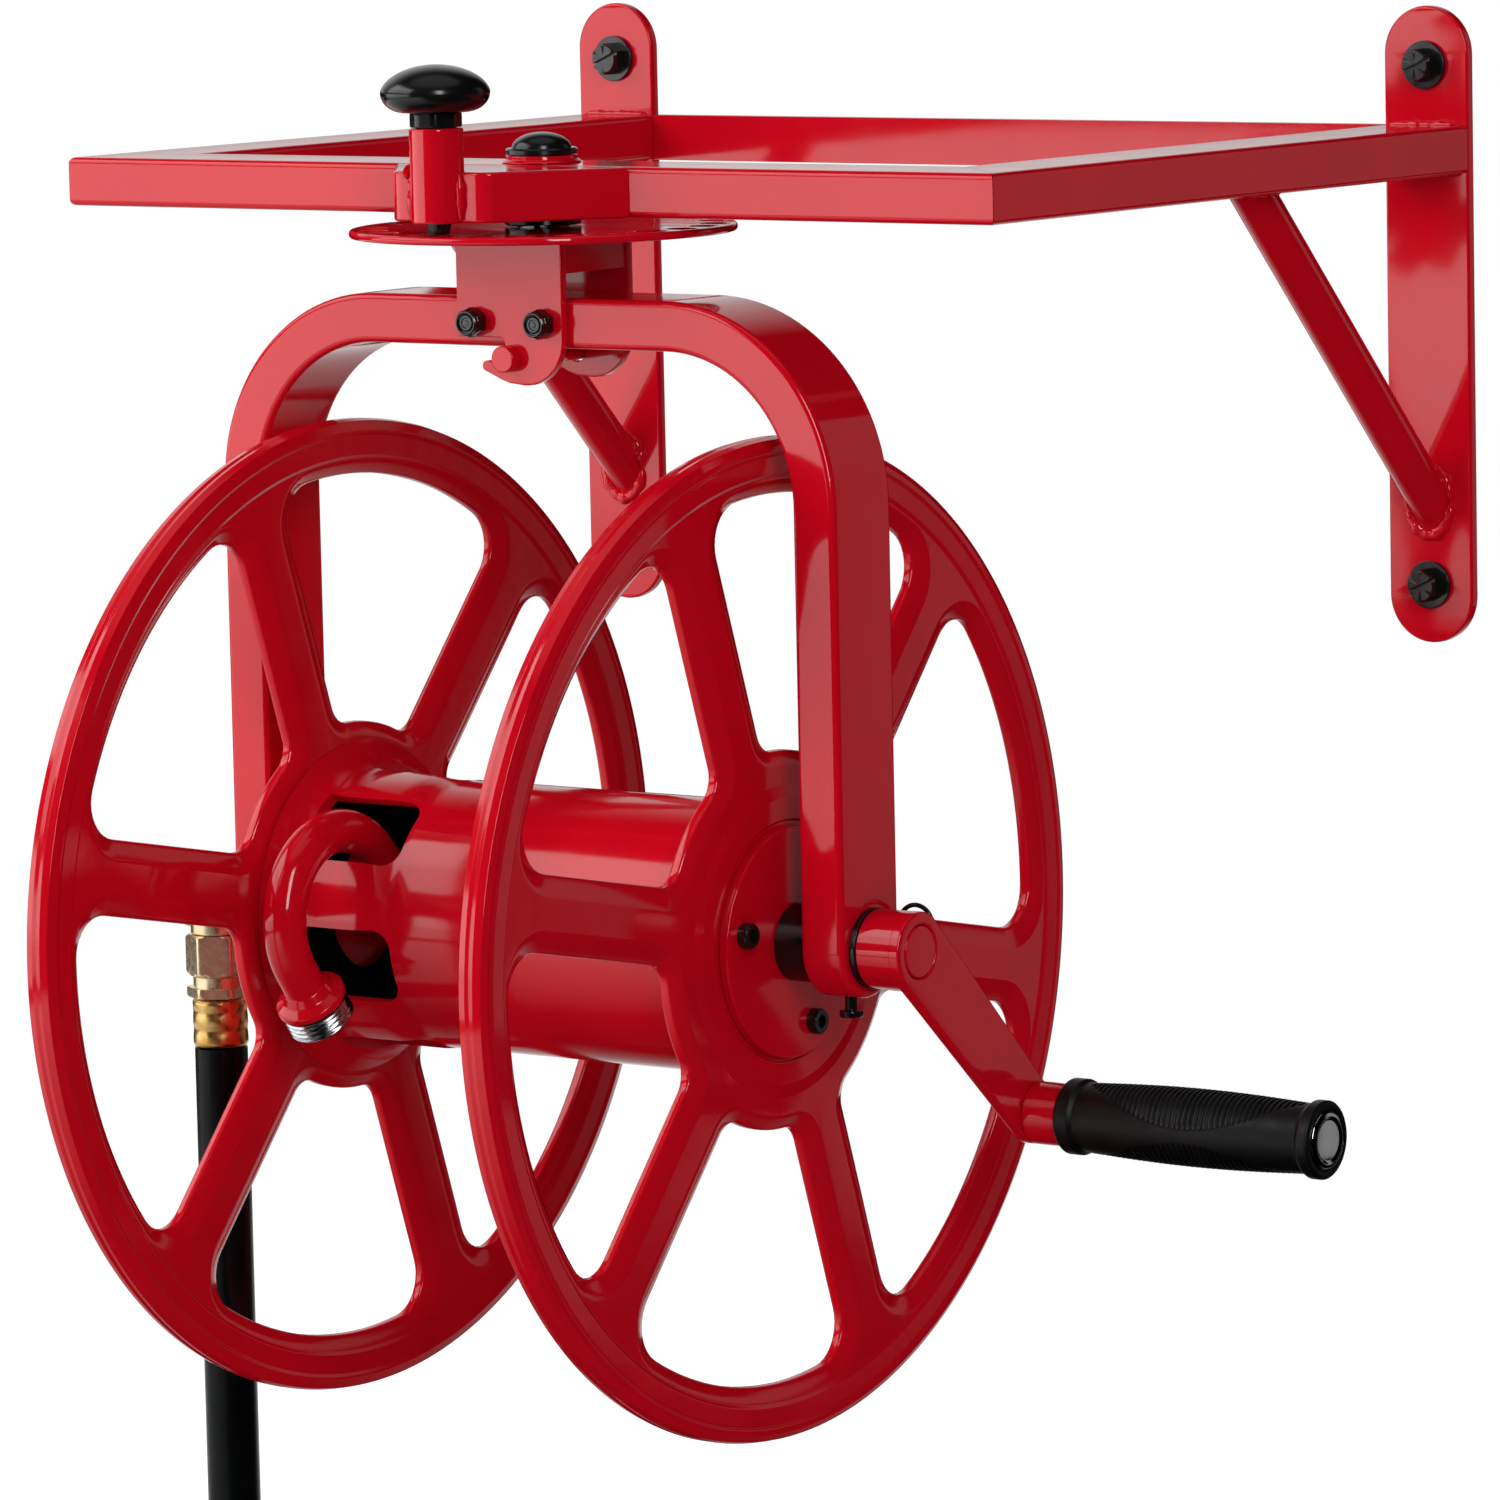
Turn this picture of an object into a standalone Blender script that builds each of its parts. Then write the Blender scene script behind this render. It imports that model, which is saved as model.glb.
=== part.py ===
"""Wall-mounted swivelling hose reel, modelled as an assembly of separate parts.

Metres, +Z up. The wall is the plane y = 0, the reel stands out from it along -Y, and +X is
to the right for someone who faces the wall. The origin is the middle of the back rail's rear
face. Sizes below are in millimetres and MM turns them into metres.
"""

import math

import bmesh
import bpy
from mathutils import Matrix, Vector

MM = 0.001
GAP = 0.3

# Driving sizes of the wall frame
FRAME_WIDTH = 438.0
FRAME_DEPTH = 342.0
TUBE_WIDE = 38.1
TUBE_HIGH = 19.05
TUBE_WALL = 2.0
TUBE_CORNER = 2.5
PLATE_THICK = 5.0
PLATE_TOP = 56.7
PLATE_LENGTH = 254.0
BOLT_FROM_END = 23.4
LAG_HOLE_RADIUS = 4.4
WASHER_RADIUS = 9.6
BRACE_RADIUS = 8.6
BRACE_TO_BOLT = 12.3
BRACE_REACH = (PLATE_LENGTH - PLATE_TOP - BOLT_FROM_END - WASHER_RADIUS - BRACE_RADIUS * math.sqrt(2)
               - BRACE_TO_BOLT - TUBE_HIGH / 2 - GAP)

# Driving sizes of the swivel, its index disc and the latch
SWIVEL_Y = -(FRAME_DEPTH - TUBE_WIDE / 2)
SLEEVE_RADIUS = 14.4
SHAFT_RADIUS = 9.5
DISC_RADIUS = 74.0
DISC_TOP = -14.2
DISC_THICK = 3.6
INDEX_RADIUS = 65.0
INDEX_HOLES = 24
INDEX_HOLE_RADIUS = 5.05
LATCH_RADIUS = 10.2
LATCH_TOP = 26.0
KNOB_RADIUS = 20.6
KNOB_TOP = 49.6
KNOB_WIDEST = 37.4
BRACKET_HALF = 55.0
BRACKET_NOSE_HALF = 21.0
CLEVIS_WIDTH = 50.0
CLEVIS_THICK = 3.5
CLEVIS_BOTTOM = -73.6
CLEVIS_BOLT_X = 16.0
HOOK_PIN_Z = -63.5
HOOK_ROUND = 18.0
NUT_ACROSS = 10.0

# Driving sizes of the yoke and the reel in it
YOKE_Z = -50.0
YOKE_HALF = 145.4
YOKE_BEND = 76.2
AXLE_Z = -282.1
AXLE_RADIUS = 9.9
LEG_BORE = 12.3
WHEEL_RADIUS = 190.5
WHEEL_HALF = 5.0
HUB_THICK = 4.0
HUB_TO_LEG = 15.45
WHEEL_X = YOKE_HALF - TUBE_HIGH - HUB_TO_LEG - HUB_THICK - GAP - WHEEL_HALF
SPOKES = 6
SPOKE_ANGLE = 11.2
SPOKE_HALF = 14.5
WINDOW_OUTER = 169.0
WINDOW_INNER = 72.0
DRUM_RADIUS = 52.0
DRUM_WALL = 3.0
DRUM_WINDOW = (13.6 - WHEEL_X, 58.6 - WHEEL_X)
DRUM_WINDOW_HALF = 15.0
DRUM_WINDOW_ROUND = 7.0
DRUM_WINDOW_TURN = 32.5
DRUM_BAND = 2.2
HUB_RADIUS = 44.0
WASHER_THICK = 3.0
DRAG_SCREW_X = YOKE_HALF - TUBE_HIGH / 2

# Driving sizes of the crank, the water inlet and the lead-in hose
CRANK_LENGTH = 105.0
CRANK_ANGLE = -43.3
CRANK_END = YOKE_HALF + 22.6
CRANK_PIN_X = YOKE_HALF + 10.6
CRANK_PIN_DEPTH = 7.0
COLLAR_LENGTH = 15.7
GRIP_START = CRANK_END + COLLAR_LENGTH + 2 * GAP
GRIP_END = GRIP_START + 104.0
INLET_X = -YOKE_HALF - 24.6
HOSE_RADIUS = 10.5
COIL_RADIUS = 115.5
COIL_TURNS = 1.5
COIL_PITCH = 23.4
END_STEP = 8.0
HOSE_TOP = AXLE_Z - 61.7
COIL_CENTRE_Z = -655.0

# Driving sizes of the outlet bend
GOOSE_RADIUS = 8.3
GOOSE_LOOP = 32.0
GOOSE_CENTRE = (34.6 - WHEEL_X, -53.0, 5.5)
GOOSE_FIRST = 140.0
GOOSE_LAST = -37.0
OUTLET_STRAIGHT = 10.0
THREAD_END = 14.5

RED = (0.42, 0.003, 0.012, 1.0)
BLACK = (0.012, 0.012, 0.012, 1.0)
STEEL = (0.62, 0.62, 0.63, 1.0)
BRASS = (0.72, 0.5, 0.22, 1.0)
RUBBER = (0.02, 0.024, 0.026, 1.0)


def clear_scene():
    """Remove what the open file holds."""
    for item in list(bpy.data.objects):
        bpy.data.objects.remove(item, do_unlink=True)
    for group in list(bpy.data.collections):
        bpy.data.collections.remove(group)


def make_collection(name):
    group = bpy.data.collections.new(name)
    bpy.context.scene.collection.children.link(group)
    return group


def make_material(name, colour, roughness, metallic):
    material = bpy.data.materials.new(name)
    material.use_nodes = True
    shader = material.node_tree.nodes["Principled BSDF"]
    shader.inputs["Base Color"].default_value = colour
    shader.inputs["Roughness"].default_value = roughness
    shader.inputs["Metallic"].default_value = metallic
    return material


def place(name, mesh, look, group):
    """Link a mesh as a named object with its own material."""
    item = bpy.data.objects.new(name, mesh)
    group.objects.link(item)
    if look is not None:
        colour, roughness, metallic = look
        mesh.materials.clear()
        mesh.materials.append(make_material(name, colour, roughness, metallic))
    mesh.shade_smooth()
    mesh.set_sharp_from_angle(angle=math.radians(35))
    return item


def rebase(item, pivot):
    """Move an object's origin onto a point of its joint's axis."""
    offset = Vector(pivot) * MM
    item.data.transform(Matrix.Translation(-offset))
    item.location = offset


def axis_matrix(axis):
    """Turn +Z onto the named axis."""
    if axis == "X":
        return Matrix.Rotation(math.radians(90), 4, "Y")
    if axis == "Y":
        return Matrix.Rotation(math.radians(-90), 4, "X")
    return Matrix.Identity(4)


def finish(work, name, look, group):
    mesh = bpy.data.meshes.new(name)
    bmesh.ops.recalc_face_normals(work, faces=work.faces)
    work.to_mesh(mesh)
    work.free()
    return place(name, mesh, look, group)


def rod(name, radius, start, end, axis, centre, look, group, sides=32, far_radius=None):
    """A cylinder or cone along an axis from start to end, about the point centre."""
    work = bmesh.new()
    last = radius if far_radius is None else far_radius
    middle = Vector(centre)
    middle["XYZ".index(axis)] = (start + end) / 2
    bmesh.ops.create_cone(
        work, cap_ends=True, segments=sides, radius1=radius * MM, radius2=last * MM,
        depth=abs(end - start) * MM, matrix=Matrix.Translation(middle * MM) @ axis_matrix(axis))
    return finish(work, name, look, group)


def block(name, low, high, look, group, edge=0.0):
    """A box between two corners, its edges rounded by a Bevel modifier."""
    work = bmesh.new()
    low, high = Vector(low), Vector(high)
    bmesh.ops.create_cube(work, size=1.0)
    for vert in work.verts:
        for i in range(3):
            vert.co[i] = ((low[i] + high[i]) / 2 + vert.co[i] * (high[i] - low[i])) * MM
    item = finish(work, name, look, group)
    if edge:
        round_edges(item, edge)
    return item


def round_edges(item, width, segments=2, angle=35):
    bevel = item.modifiers.new("rounded edges", "BEVEL")
    bevel.width = width * MM
    bevel.segments = segments
    bevel.limit_method = "ANGLE"
    bevel.angle_limit = math.radians(angle)


def turned(name, profile, axis, centre, look, group, steps=48):
    """A turned shape: a profile of (radius, height) points, spun about an axis.

    The points run down the outer side, top to bottom. A profile that starts and ends at
    radius 0 is solid; any other is closed into a ring with a bore.
    """
    mesh = bpy.data.meshes.new(name + " profile")
    points = [(radius * MM, 0.0, height * MM) for radius, height in profile]
    ring = profile[0][0] > 0
    edges = [(i, i + 1) for i in range(len(points) - 1)]
    if ring:
        edges.append((len(points) - 1, 0))
    mesh.from_pydata(points, edges, [])
    helper = bpy.data.objects.new(name + " profile", mesh)
    bpy.context.scene.collection.objects.link(helper)
    screw = helper.modifiers.new("turn", "SCREW")
    screw.steps = steps
    screw.render_steps = steps
    screw.use_merge_vertices = True
    screw.merge_threshold = 0.00001
    solid = evaluated_mesh(helper, name)
    bpy.data.objects.remove(helper, do_unlink=True)
    solid.transform(Matrix.Translation(Vector(centre) * MM) @ axis_matrix(axis))
    work = bmesh.new()
    work.from_mesh(solid)
    bmesh.ops.remove_doubles(work, verts=work.verts, dist=0.00001)
    bpy.data.meshes.remove(solid)
    return finish(work, name, look, group)


def evaluated_mesh(item, name):
    """The mesh that an object's modifiers or bevel give."""
    bpy.context.view_layer.update()
    graph = bpy.context.evaluated_depsgraph_get()
    mesh = bpy.data.meshes.new_from_object(item.evaluated_get(graph), depsgraph=graph)
    mesh.name = name
    return mesh


def arc(centre, radius, first, last, count):
    """Points along an arc, its angles in degrees."""
    points = []
    for i in range(count + 1):
        angle = math.radians(first + (last - first) * i / count)
        points.append((centre[0] + radius * math.cos(angle), centre[1] + radius * math.sin(angle)))
    return points


def rounded_box(width, height, radius, count=2):
    """The outline of a rectangle with round corners about the origin."""
    x, y = width / 2 - radius, height / 2 - radius
    return (arc((x, y), radius, 0, 90, count) + arc((-x, y), radius, 90, 180, count)
            + arc((-x, -y), radius, 180, 270, count) + arc((x, -y), radius, 270, 360, count))


def outline(name, loops, thick, matrix, look, group):
    """A flat plate from 2D loops, the first the edge and the others holes."""
    curve = bpy.data.curves.new(name, "CURVE")
    curve.dimensions = "2D"
    curve.fill_mode = "BOTH"
    curve.extrude = thick / 2 * MM
    for loop in loops:
        spline = curve.splines.new("POLY")
        spline.points.add(len(loop) - 1)
        for point, (x, y) in zip(spline.points, loop):
            point.co = (x * MM, y * MM, 0.0, 1.0)
        spline.use_cyclic_u = True
    helper = bpy.data.objects.new(name, curve)
    bpy.context.scene.collection.objects.link(helper)
    mesh = evaluated_mesh(helper, name)
    bpy.data.objects.remove(helper, do_unlink=True)
    mesh.transform(matrix)
    work = bmesh.new()
    work.from_mesh(mesh)
    bpy.data.meshes.remove(mesh)
    bmesh.ops.remove_doubles(work, verts=work.verts, dist=0.00001)
    return finish(work, name, look, group)


def facing(axis, centre):
    """A matrix that lays a 2D outline square to an axis.

    X: the outline's x runs along +Y and its y along +Z. Y: x along +X and y along +Z.
    Z: x along +X and y along +Y.
    """
    columns = {"X": ((0, 1, 0), (0, 0, 1), (1, 0, 0)), "Y": ((1, 0, 0), (0, 0, 1), (0, -1, 0)),
               "Z": ((1, 0, 0), (0, 1, 0), (0, 0, 1))}[axis]
    turn = Matrix(columns).transposed().to_4x4()
    return Matrix.Translation(Vector(centre) * MM) @ turn


def circle(centre, radius, count=24):
    return arc(centre, radius, 0, 360 - 360 / count, count - 1)


def tube(name, points, radius, look, group, resolution=3, matrix=None):
    """A round tube along points, as a mesh with its caps welded."""
    curve = bpy.data.curves.new(name, "CURVE")
    curve.dimensions = "3D"
    curve.bevel_depth = radius * MM
    curve.bevel_resolution = resolution
    curve.use_fill_caps = True
    spline = curve.splines.new("POLY")
    spline.points.add(len(points) - 1)
    for point, place_at in zip(spline.points, points):
        point.co = (*(Vector(place_at) * MM), 1.0)
    helper = bpy.data.objects.new(name, curve)
    bpy.context.scene.collection.objects.link(helper)
    mesh = evaluated_mesh(helper, name)
    bpy.data.objects.remove(helper, do_unlink=True)
    if matrix is not None:
        mesh.transform(matrix)
    work = bmesh.new()
    work.from_mesh(mesh)
    bpy.data.meshes.remove(mesh)
    bmesh.ops.remove_doubles(work, verts=work.verts, dist=0.00001)
    return finish(work, name, look, group)


def boolean(item, cutter, operation="DIFFERENCE"):
    """Cut or join with another object, which stays as a hidden guide."""
    step = item.modifiers.new(operation.lower() + " " + cutter.name, "BOOLEAN")
    step.operation = operation
    step.object = cutter
    step.solver = "EXACT"
    cutter.hide_render = True
    cutter.display_type = "WIRE"


PAINT = (RED, 0.3, 0.0)
PLASTIC = (BLACK, 0.4, 0.0)
BLACK_STEEL = (BLACK, 0.35, 0.6)
BRIGHT = (STEEL, 0.25, 1.0)
YELLOW_METAL = (BRASS, 0.3, 1.0)
GRIP_RUBBER = (RUBBER, 0.7, 0.0)


def wall_plates(parts, cutters):
    """Two upright bars with round ends, each with a lag-bolt hole at both ends."""
    radius = TUBE_WIDE / 2
    upper = PLATE_TOP - radius
    lower = PLATE_TOP - PLATE_LENGTH + radius
    edge = arc((0, upper), radius, 0, 180, 14) + arc((0, lower), radius, 180, 360, 14)
    holes = [circle((0, PLATE_TOP - BOLT_FROM_END), LAG_HOLE_RADIUS, 12),
             circle((0, PLATE_TOP - PLATE_LENGTH + BOLT_FROM_END), LAG_HOLE_RADIUS, 12)]
    for side, name in ((-1, "left_wall_plate"), (1, "right_wall_plate")):
        centre = (side * (FRAME_WIDTH - TUBE_WIDE) / 2, -PLATE_THICK / 2, 0)
        outline(name, [edge] + holes, PLATE_THICK, facing("Y", centre), PAINT, parts)


def lag_bolts(parts, cutters):
    """Four slotted hex lag bolts, each with its captive washer."""
    head_back = -PLATE_THICK - GAP - 1.6
    heights = {"upper": PLATE_TOP - BOLT_FROM_END, "lower": PLATE_TOP - PLATE_LENGTH + BOLT_FROM_END}
    for side, hand in ((-1, "left"), (1, "right")):
        x = side * (FRAME_WIDTH - TUBE_WIDE) / 2
        for level, height in heights.items():
            bolt = rod(hand + "_" + level + "_lag_bolt", 12.7 / math.sqrt(3), head_back - 5.2,
                       head_back + 0.5, "Y", (x, 0, height), BLACK_STEEL, parts, sides=6)
            boolean(bolt, rod("washer", WASHER_RADIUS, head_back, head_back + 1.6, "Y", (x, 0, height), None,
                              cutters, sides=20), "UNION")
            boolean(bolt, rod("shank", 3.95, head_back + 1.0, -0.5, "Y", (x, 0, height), None, cutters,
                              sides=8), "UNION")
            boolean(bolt, block("slot", (x - 8, head_back - 6.2, height - 0.7),
                                (x + 8, head_back - 3.4, height + 0.7), None, cutters))


def tube_section(name, length, matrix, look, group):
    """A straight piece of rectangular tube along its own Z, 38 wide along x."""
    outer = rounded_box(TUBE_WIDE, TUBE_HIGH, TUBE_CORNER)
    inner = rounded_box(TUBE_WIDE - 2 * TUBE_WALL, TUBE_HIGH - 2 * TUBE_WALL, TUBE_CORNER - 1.2)
    return outline(name, [outer, inner], length, matrix, look, group)


def mitre(name, side, cuts_rail, cutters):
    """A wide wedge that cuts a tube end at 45 degrees through a front corner of the frame."""
    reach = 80.0
    shift = GAP / 2 / math.sqrt(2)
    x, y = side * (FRAME_WIDTH - TUBE_WIDE) / 2, SWIVEL_Y
    if cuts_rail:
        third, shift = (x + side * reach, y + reach), -shift
    else:
        third = (x - side * reach, y - reach)
    shape = [(x + side * reach, y - reach), third, (x - side * reach, y + reach)]
    shape = [(px + side * shift, py + shift) for px, py in shape]
    return outline(name, [shape], 60.0, facing("Z", (0, 0, 0)), None, cutters)


def frame_tubes(parts, cutters):
    """The front rail and the two arms, mitred at the front corners, and the back rail."""
    half = FRAME_WIDTH / 2
    rail_turn = Matrix(((0, 0, 1), (1, 0, 0), (0, 1, 0))).to_4x4()
    rail = tube_section("front_rail", FRAME_WIDTH, Matrix.Translation(Vector((0, SWIVEL_Y, 0)) * MM)
                        @ rail_turn, PAINT, parts)
    arm_turn = Matrix(((1, 0, 0), (0, 0, -1), (0, 1, 0))).to_4x4()
    back = -PLATE_THICK - GAP
    for side, name in ((-1, "left_arm_tube"), (1, "right_arm_tube")):
        x = side * (FRAME_WIDTH - TUBE_WIDE) / 2
        length = FRAME_DEPTH + back
        centre = Vector((x, -(FRAME_DEPTH - back) / 2, 0)) * MM
        arm = tube_section(name, length, Matrix.Translation(centre) @ arm_turn, PAINT, parts)
        boolean(rail, mitre(name + " rail mitre", side, True, cutters))
        boolean(arm, mitre(name + " arm mitre", side, False, cutters))
    boolean(rail, rod("sleeve hole", SLEEVE_RADIUS + GAP, -20, 20, "Z", (0, SWIVEL_Y, 0), None, cutters, 28))
    inner = half - TUBE_WIDE - GAP
    block("back_rail", (-inner, -PLATE_THICK, -TUBE_HIGH / 2), (inner, 0, TUBE_HIGH / 2), PAINT, parts)


def braces(parts, cutters):
    """Round tubes at 45 degrees from under each arm down to its wall plate."""
    low = -TUBE_HIGH / 2 - GAP
    wall = -PLATE_THICK - GAP
    over = 30.0
    for side, name in ((-1, "left_brace"), (1, "right_brace")):
        x = side * (FRAME_WIDTH - TUBE_WIDE) / 2
        front = (x, wall - BRACE_REACH - over, low + over)
        rear = (x, wall + over, low - BRACE_REACH - over)
        brace = tube(name, [front, rear], BRACE_RADIUS, PAINT, parts, resolution=5)
        bore = tube(name + " bore", [(x, wall - BRACE_REACH - over - 9, low + over + 9),
                                     (x, wall + over + 9, low - BRACE_REACH - over - 9)],
                    BRACE_RADIUS - 1.8, None, cutters, resolution=4)
        boolean(brace, bore)
        boolean(brace, block(name + " top cut", (x - 30, wall - 300, low), (x + 30, 60, 120), None, cutters))
        boolean(brace, block(name + " wall cut", (x - 30, wall, -300), (x + 30, 60, 130), None, cutters))


def latch(parts, cutters):
    """The bracket on the front rail, the latch barrel, its plunger, spring and knob."""
    half_high = TUBE_HIGH / 2
    front = -FRAME_DEPTH - GAP
    latch_y = SWIVEL_Y - INDEX_RADIUS
    nose_round = 3.5
    flank = math.degrees(math.atan2(front - latch_y, BRACKET_HALF - BRACKET_NOSE_HALF))
    corner_x, corner_y = BRACKET_NOSE_HALF - nose_round, latch_y + nose_round
    edge = [(-BRACKET_HALF, front)] + arc((-corner_x, corner_y), nose_round, 270 - flank, 270, 4)
    edge += arc((corner_x, corner_y), nose_round, 270, 270 + flank, 4) + [(BRACKET_HALF, front)]
    bracket = outline("latch_bracket", [edge], TUBE_HIGH, facing("Z", (0, 0, 0)), PAINT, parts)
    boolean(bracket, rod("barrel seat", LATCH_RADIUS + GAP, -30, 40, "Z", (0, latch_y, 0), None, cutters, 32))
    boolean(bracket, rod("sleeve relief", SLEEVE_RADIUS + 5, -30, 40, "Z", (0, SWIVEL_Y, 0), None, cutters,
                         32))
    centre = (0, latch_y, 0)
    bore, lip = 7.3, 5.7
    turned("latch_barrel", [(LATCH_RADIUS - 0.8, LATCH_TOP), (LATCH_RADIUS, LATCH_TOP - 0.8),
                            (LATCH_RADIUS, -half_high + 0.6), (LATCH_RADIUS - 0.6, -half_high),
                            (lip, -half_high), (lip, -half_high + 2), (bore, -half_high + 2),
                            (bore, LATCH_TOP)], "Z", centre, PAINT, parts, 28)
    base = LATCH_TOP + GAP
    turned("latch_bushing", [(4.3, base + 5.2), (9.8, base + 5.2), (9.8, base), (7.0, base),
                             (7.0, base - 5), (4.3, base - 5)], "Z", centre, PLASTIC, parts, 8)
    tip = DISC_TOP + 0.4
    turned("latch_plunger", [(0, 43), (4.0, 43), (4.0, -2.2), (7.0, -2.2), (7.0, -5.2), (5.3, -5.2),
                             (5.3, tip + 5.5), (4.1, tip), (0, tip)], "Z", centre, BLACK_STEEL, parts, 24)
    under = base + 5.2 + GAP
    knob = [(0, KNOB_TOP)]
    for degrees in range(18, 108, 18):
        turn = math.radians(degrees)
        knob.append((KNOB_RADIUS * math.sin(turn), KNOB_WIDEST + (KNOB_TOP - KNOB_WIDEST)
                     * max(0.0, math.cos(turn)) ** 1.25))
    neck = 11.6
    for degrees in (30, 60, 90):
        turn = math.radians(degrees)
        knob.append((neck + (KNOB_RADIUS - neck) * math.cos(turn), KNOB_WIDEST - (KNOB_WIDEST - under)
                     * math.sin(turn)))
    knob += [(10.3, under), (10.3, under + 2.6), (4.3, under + 2.6), (4.3, 43.3), (0, 43.3)]
    turned("latch_knob", knob, "Z", centre, PLASTIC, parts, 28)
    wire = 0.75
    low, high = -2.2 + GAP + wire, base - 5 - GAP - wire
    points = []
    for i in range(49):
        angle = 2 * math.pi * i / 8
        points.append((5.9 * math.cos(angle), latch_y + 5.9 * math.sin(angle), low + (high - low) * i / 48))
    tube("latch_spring", points, wire, BRIGHT, parts, resolution=1)
    for name in ("latch_plunger", "latch_knob", "latch_spring"):
        rebase(bpy.data.objects[name], centre)


def swivel(parts, cutters):
    """The sleeve through the front rail, the swivel shaft in it and what holds the shaft."""
    centre = (0, SWIVEL_Y, 0)
    half_high = TUBE_HIGH / 2
    top = 12.8
    turned("swivel_sleeve", [(SLEEVE_RADIUS - 0.8, top), (SLEEVE_RADIUS, top - 0.8),
                             (SLEEVE_RADIUS, -half_high), (11.5, -half_high), (11.5, top)],
           "Z", centre, PAINT, parts, 28)
    turned("swivel_bushing", [(11.2, 6.0), (11.2, -half_high), (SHAFT_RADIUS + GAP, -half_high),
                              (SHAFT_RADIUS + GAP, 6.0)], "Z", centre, PLASTIC, parts, 24)
    turned("thrust_washer", [(14.6, -half_high - GAP), (14.6, DISC_TOP + GAP),
                             (SHAFT_RADIUS + GAP, DISC_TOP + GAP), (SHAFT_RADIUS + GAP, -half_high - GAP)],
           "Z", centre, PLASTIC, parts, 28)
    turned("swivel_shaft", [(0, 9.5), (10.9, 9.5), (10.9, 6.0 + GAP), (SHAFT_RADIUS, 6.0 + GAP),
                            (SHAFT_RADIUS, -24.0), (0, -24.0)], "Z", centre, BRIGHT, parts, 24)
    flange = top + GAP
    dome = [(0, flange + 8.0), (4.6, flange + 7.5), (8.6, flange + 5.6), (11.0, flange + 2.3),
            (12.8, flange + 1.9), (13.2, flange + 1.4), (13.2, flange), (11.2, flange), (11.2, flange - 2.8),
            (0, flange - 2.8)]
    turned("swivel_cap", dome, "Z", centre, PLASTIC, parts, 24)


def index_disc(parts, cutters):
    """The round plate that turns with the reel, with a ring of index holes."""
    loops = [circle((0, 0), DISC_RADIUS, 72), circle((0, 0), SHAFT_RADIUS + GAP, 24)]
    for i in range(INDEX_HOLES):
        angle = math.radians(-90 + 360 * i / INDEX_HOLES)
        loops.append(circle((INDEX_RADIUS * math.cos(angle), INDEX_RADIUS * math.sin(angle)),
                            INDEX_HOLE_RADIUS, 8))
    disc = outline("index_disc", loops, DISC_THICK, facing("Z", (0, SWIVEL_Y, DISC_TOP - DISC_THICK / 2)),
                   PAINT, parts)
    rebase(disc, (0, SWIVEL_Y, 0))


def clevis_outline():
    """Outline of a clevis cheek: square at the top, with a hook open to the left below."""
    half = CLEVIS_WIDTH / 2
    top = DISC_TOP - DISC_THICK - GAP
    pin = HOOK_PIN_Z
    edge = [(-half, top), (-half, pin + 7.8), (-3.2, pin + 7.8)]
    edge += arc((0, pin), 4.1, 120, -150, 14)
    edge += [(-6.0, pin - 1.5)] + arc((-11.4, pin - 3.1), 2.0, 80, 240, 6)
    edge += [(-4.7, pin - 8.0), (-0.6, pin - 9.4)]
    edge += arc((half - HOOK_ROUND, CLEVIS_BOTTOM + HOOK_ROUND), HOOK_ROUND, 260, 360, 12)
    edge += [(half, top)]
    return edge


def clevis(parts, cutters):
    """Two hooked cheeks and two side plates under the index disc, and their bolts."""
    inner = TUBE_WIDE / 2 + GAP
    top = DISC_TOP - DISC_THICK - GAP
    edge = clevis_outline()
    holes = [circle((side * CLEVIS_BOLT_X, YOKE_Z), 3.45, 18) for side in (-1, 1)]
    for side, name in ((-1, "clevis_front_plate"), (1, "clevis_rear_plate")):
        centre = (0, SWIVEL_Y + side * (inner + CLEVIS_THICK / 2), 0)
        plate = outline(name, [edge] + holes, CLEVIS_THICK, facing("Y", centre), PAINT, parts)
    half = CLEVIS_WIDTH / 2
    for side in (-1, 1):
        x0, x1 = sorted((side * (half - 1.0), side * (half - 5.0)))
        boolean(plate, block("web", (x0, SWIVEL_Y - inner + GAP, top - 13.0),
                             (x1, SWIVEL_Y + inner + 1.0, top), None, cutters), "UNION")
    face = inner + CLEVIS_THICK + GAP
    for side, hand in ((-1, "left"), (1, "right")):
        x = side * CLEVIS_BOLT_X
        y = SWIVEL_Y
        nut = rod("clevis_" + hand + "_lock_nut", NUT_ACROSS / math.sqrt(3), y - face - 4.6, y - face, "Y",
                  (x, 0, YOKE_Z), BLACK_STEEL, parts, 6)
        crown = rod("crown", 4.6, y - face - 6.5, y - face - 4.0, "Y", (x, 0, YOKE_Z), None, cutters, 16)
        hole = rod("nut hole", 3.45, y - face - 12, y - face + 5, "Y", (x, 0, YOKE_Z), None, cutters, 12)
        boolean(nut, crown, "UNION")
        boolean(nut, hole)
        head = rod("clevis_" + hand + "_bolt", NUT_ACROSS / math.sqrt(3), y + face, y + face + 4.2, "Y",
                   (x, 0, YOKE_Z), BLACK_STEEL, parts, 6)
        shank = rod("shank", 3.15, y - face - 6.1, y + face + 1, "Y", (x, 0, YOKE_Z), None, cutters, 12)
        boolean(head, shank, "UNION")
    pin = rod("hook_pin", 3.5, SWIVEL_Y - face - 1.0, SWIVEL_Y + face + 3.0, "Y", (0, 0, HOOK_PIN_Z), PAINT,
              parts, 28)
    boolean(pin, rod("pin head", 5.1, SWIVEL_Y - face - 5.0, SWIVEL_Y - face, "Y", (0, 0, HOOK_PIN_Z), None,
                     cutters, 28), "UNION")


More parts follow.
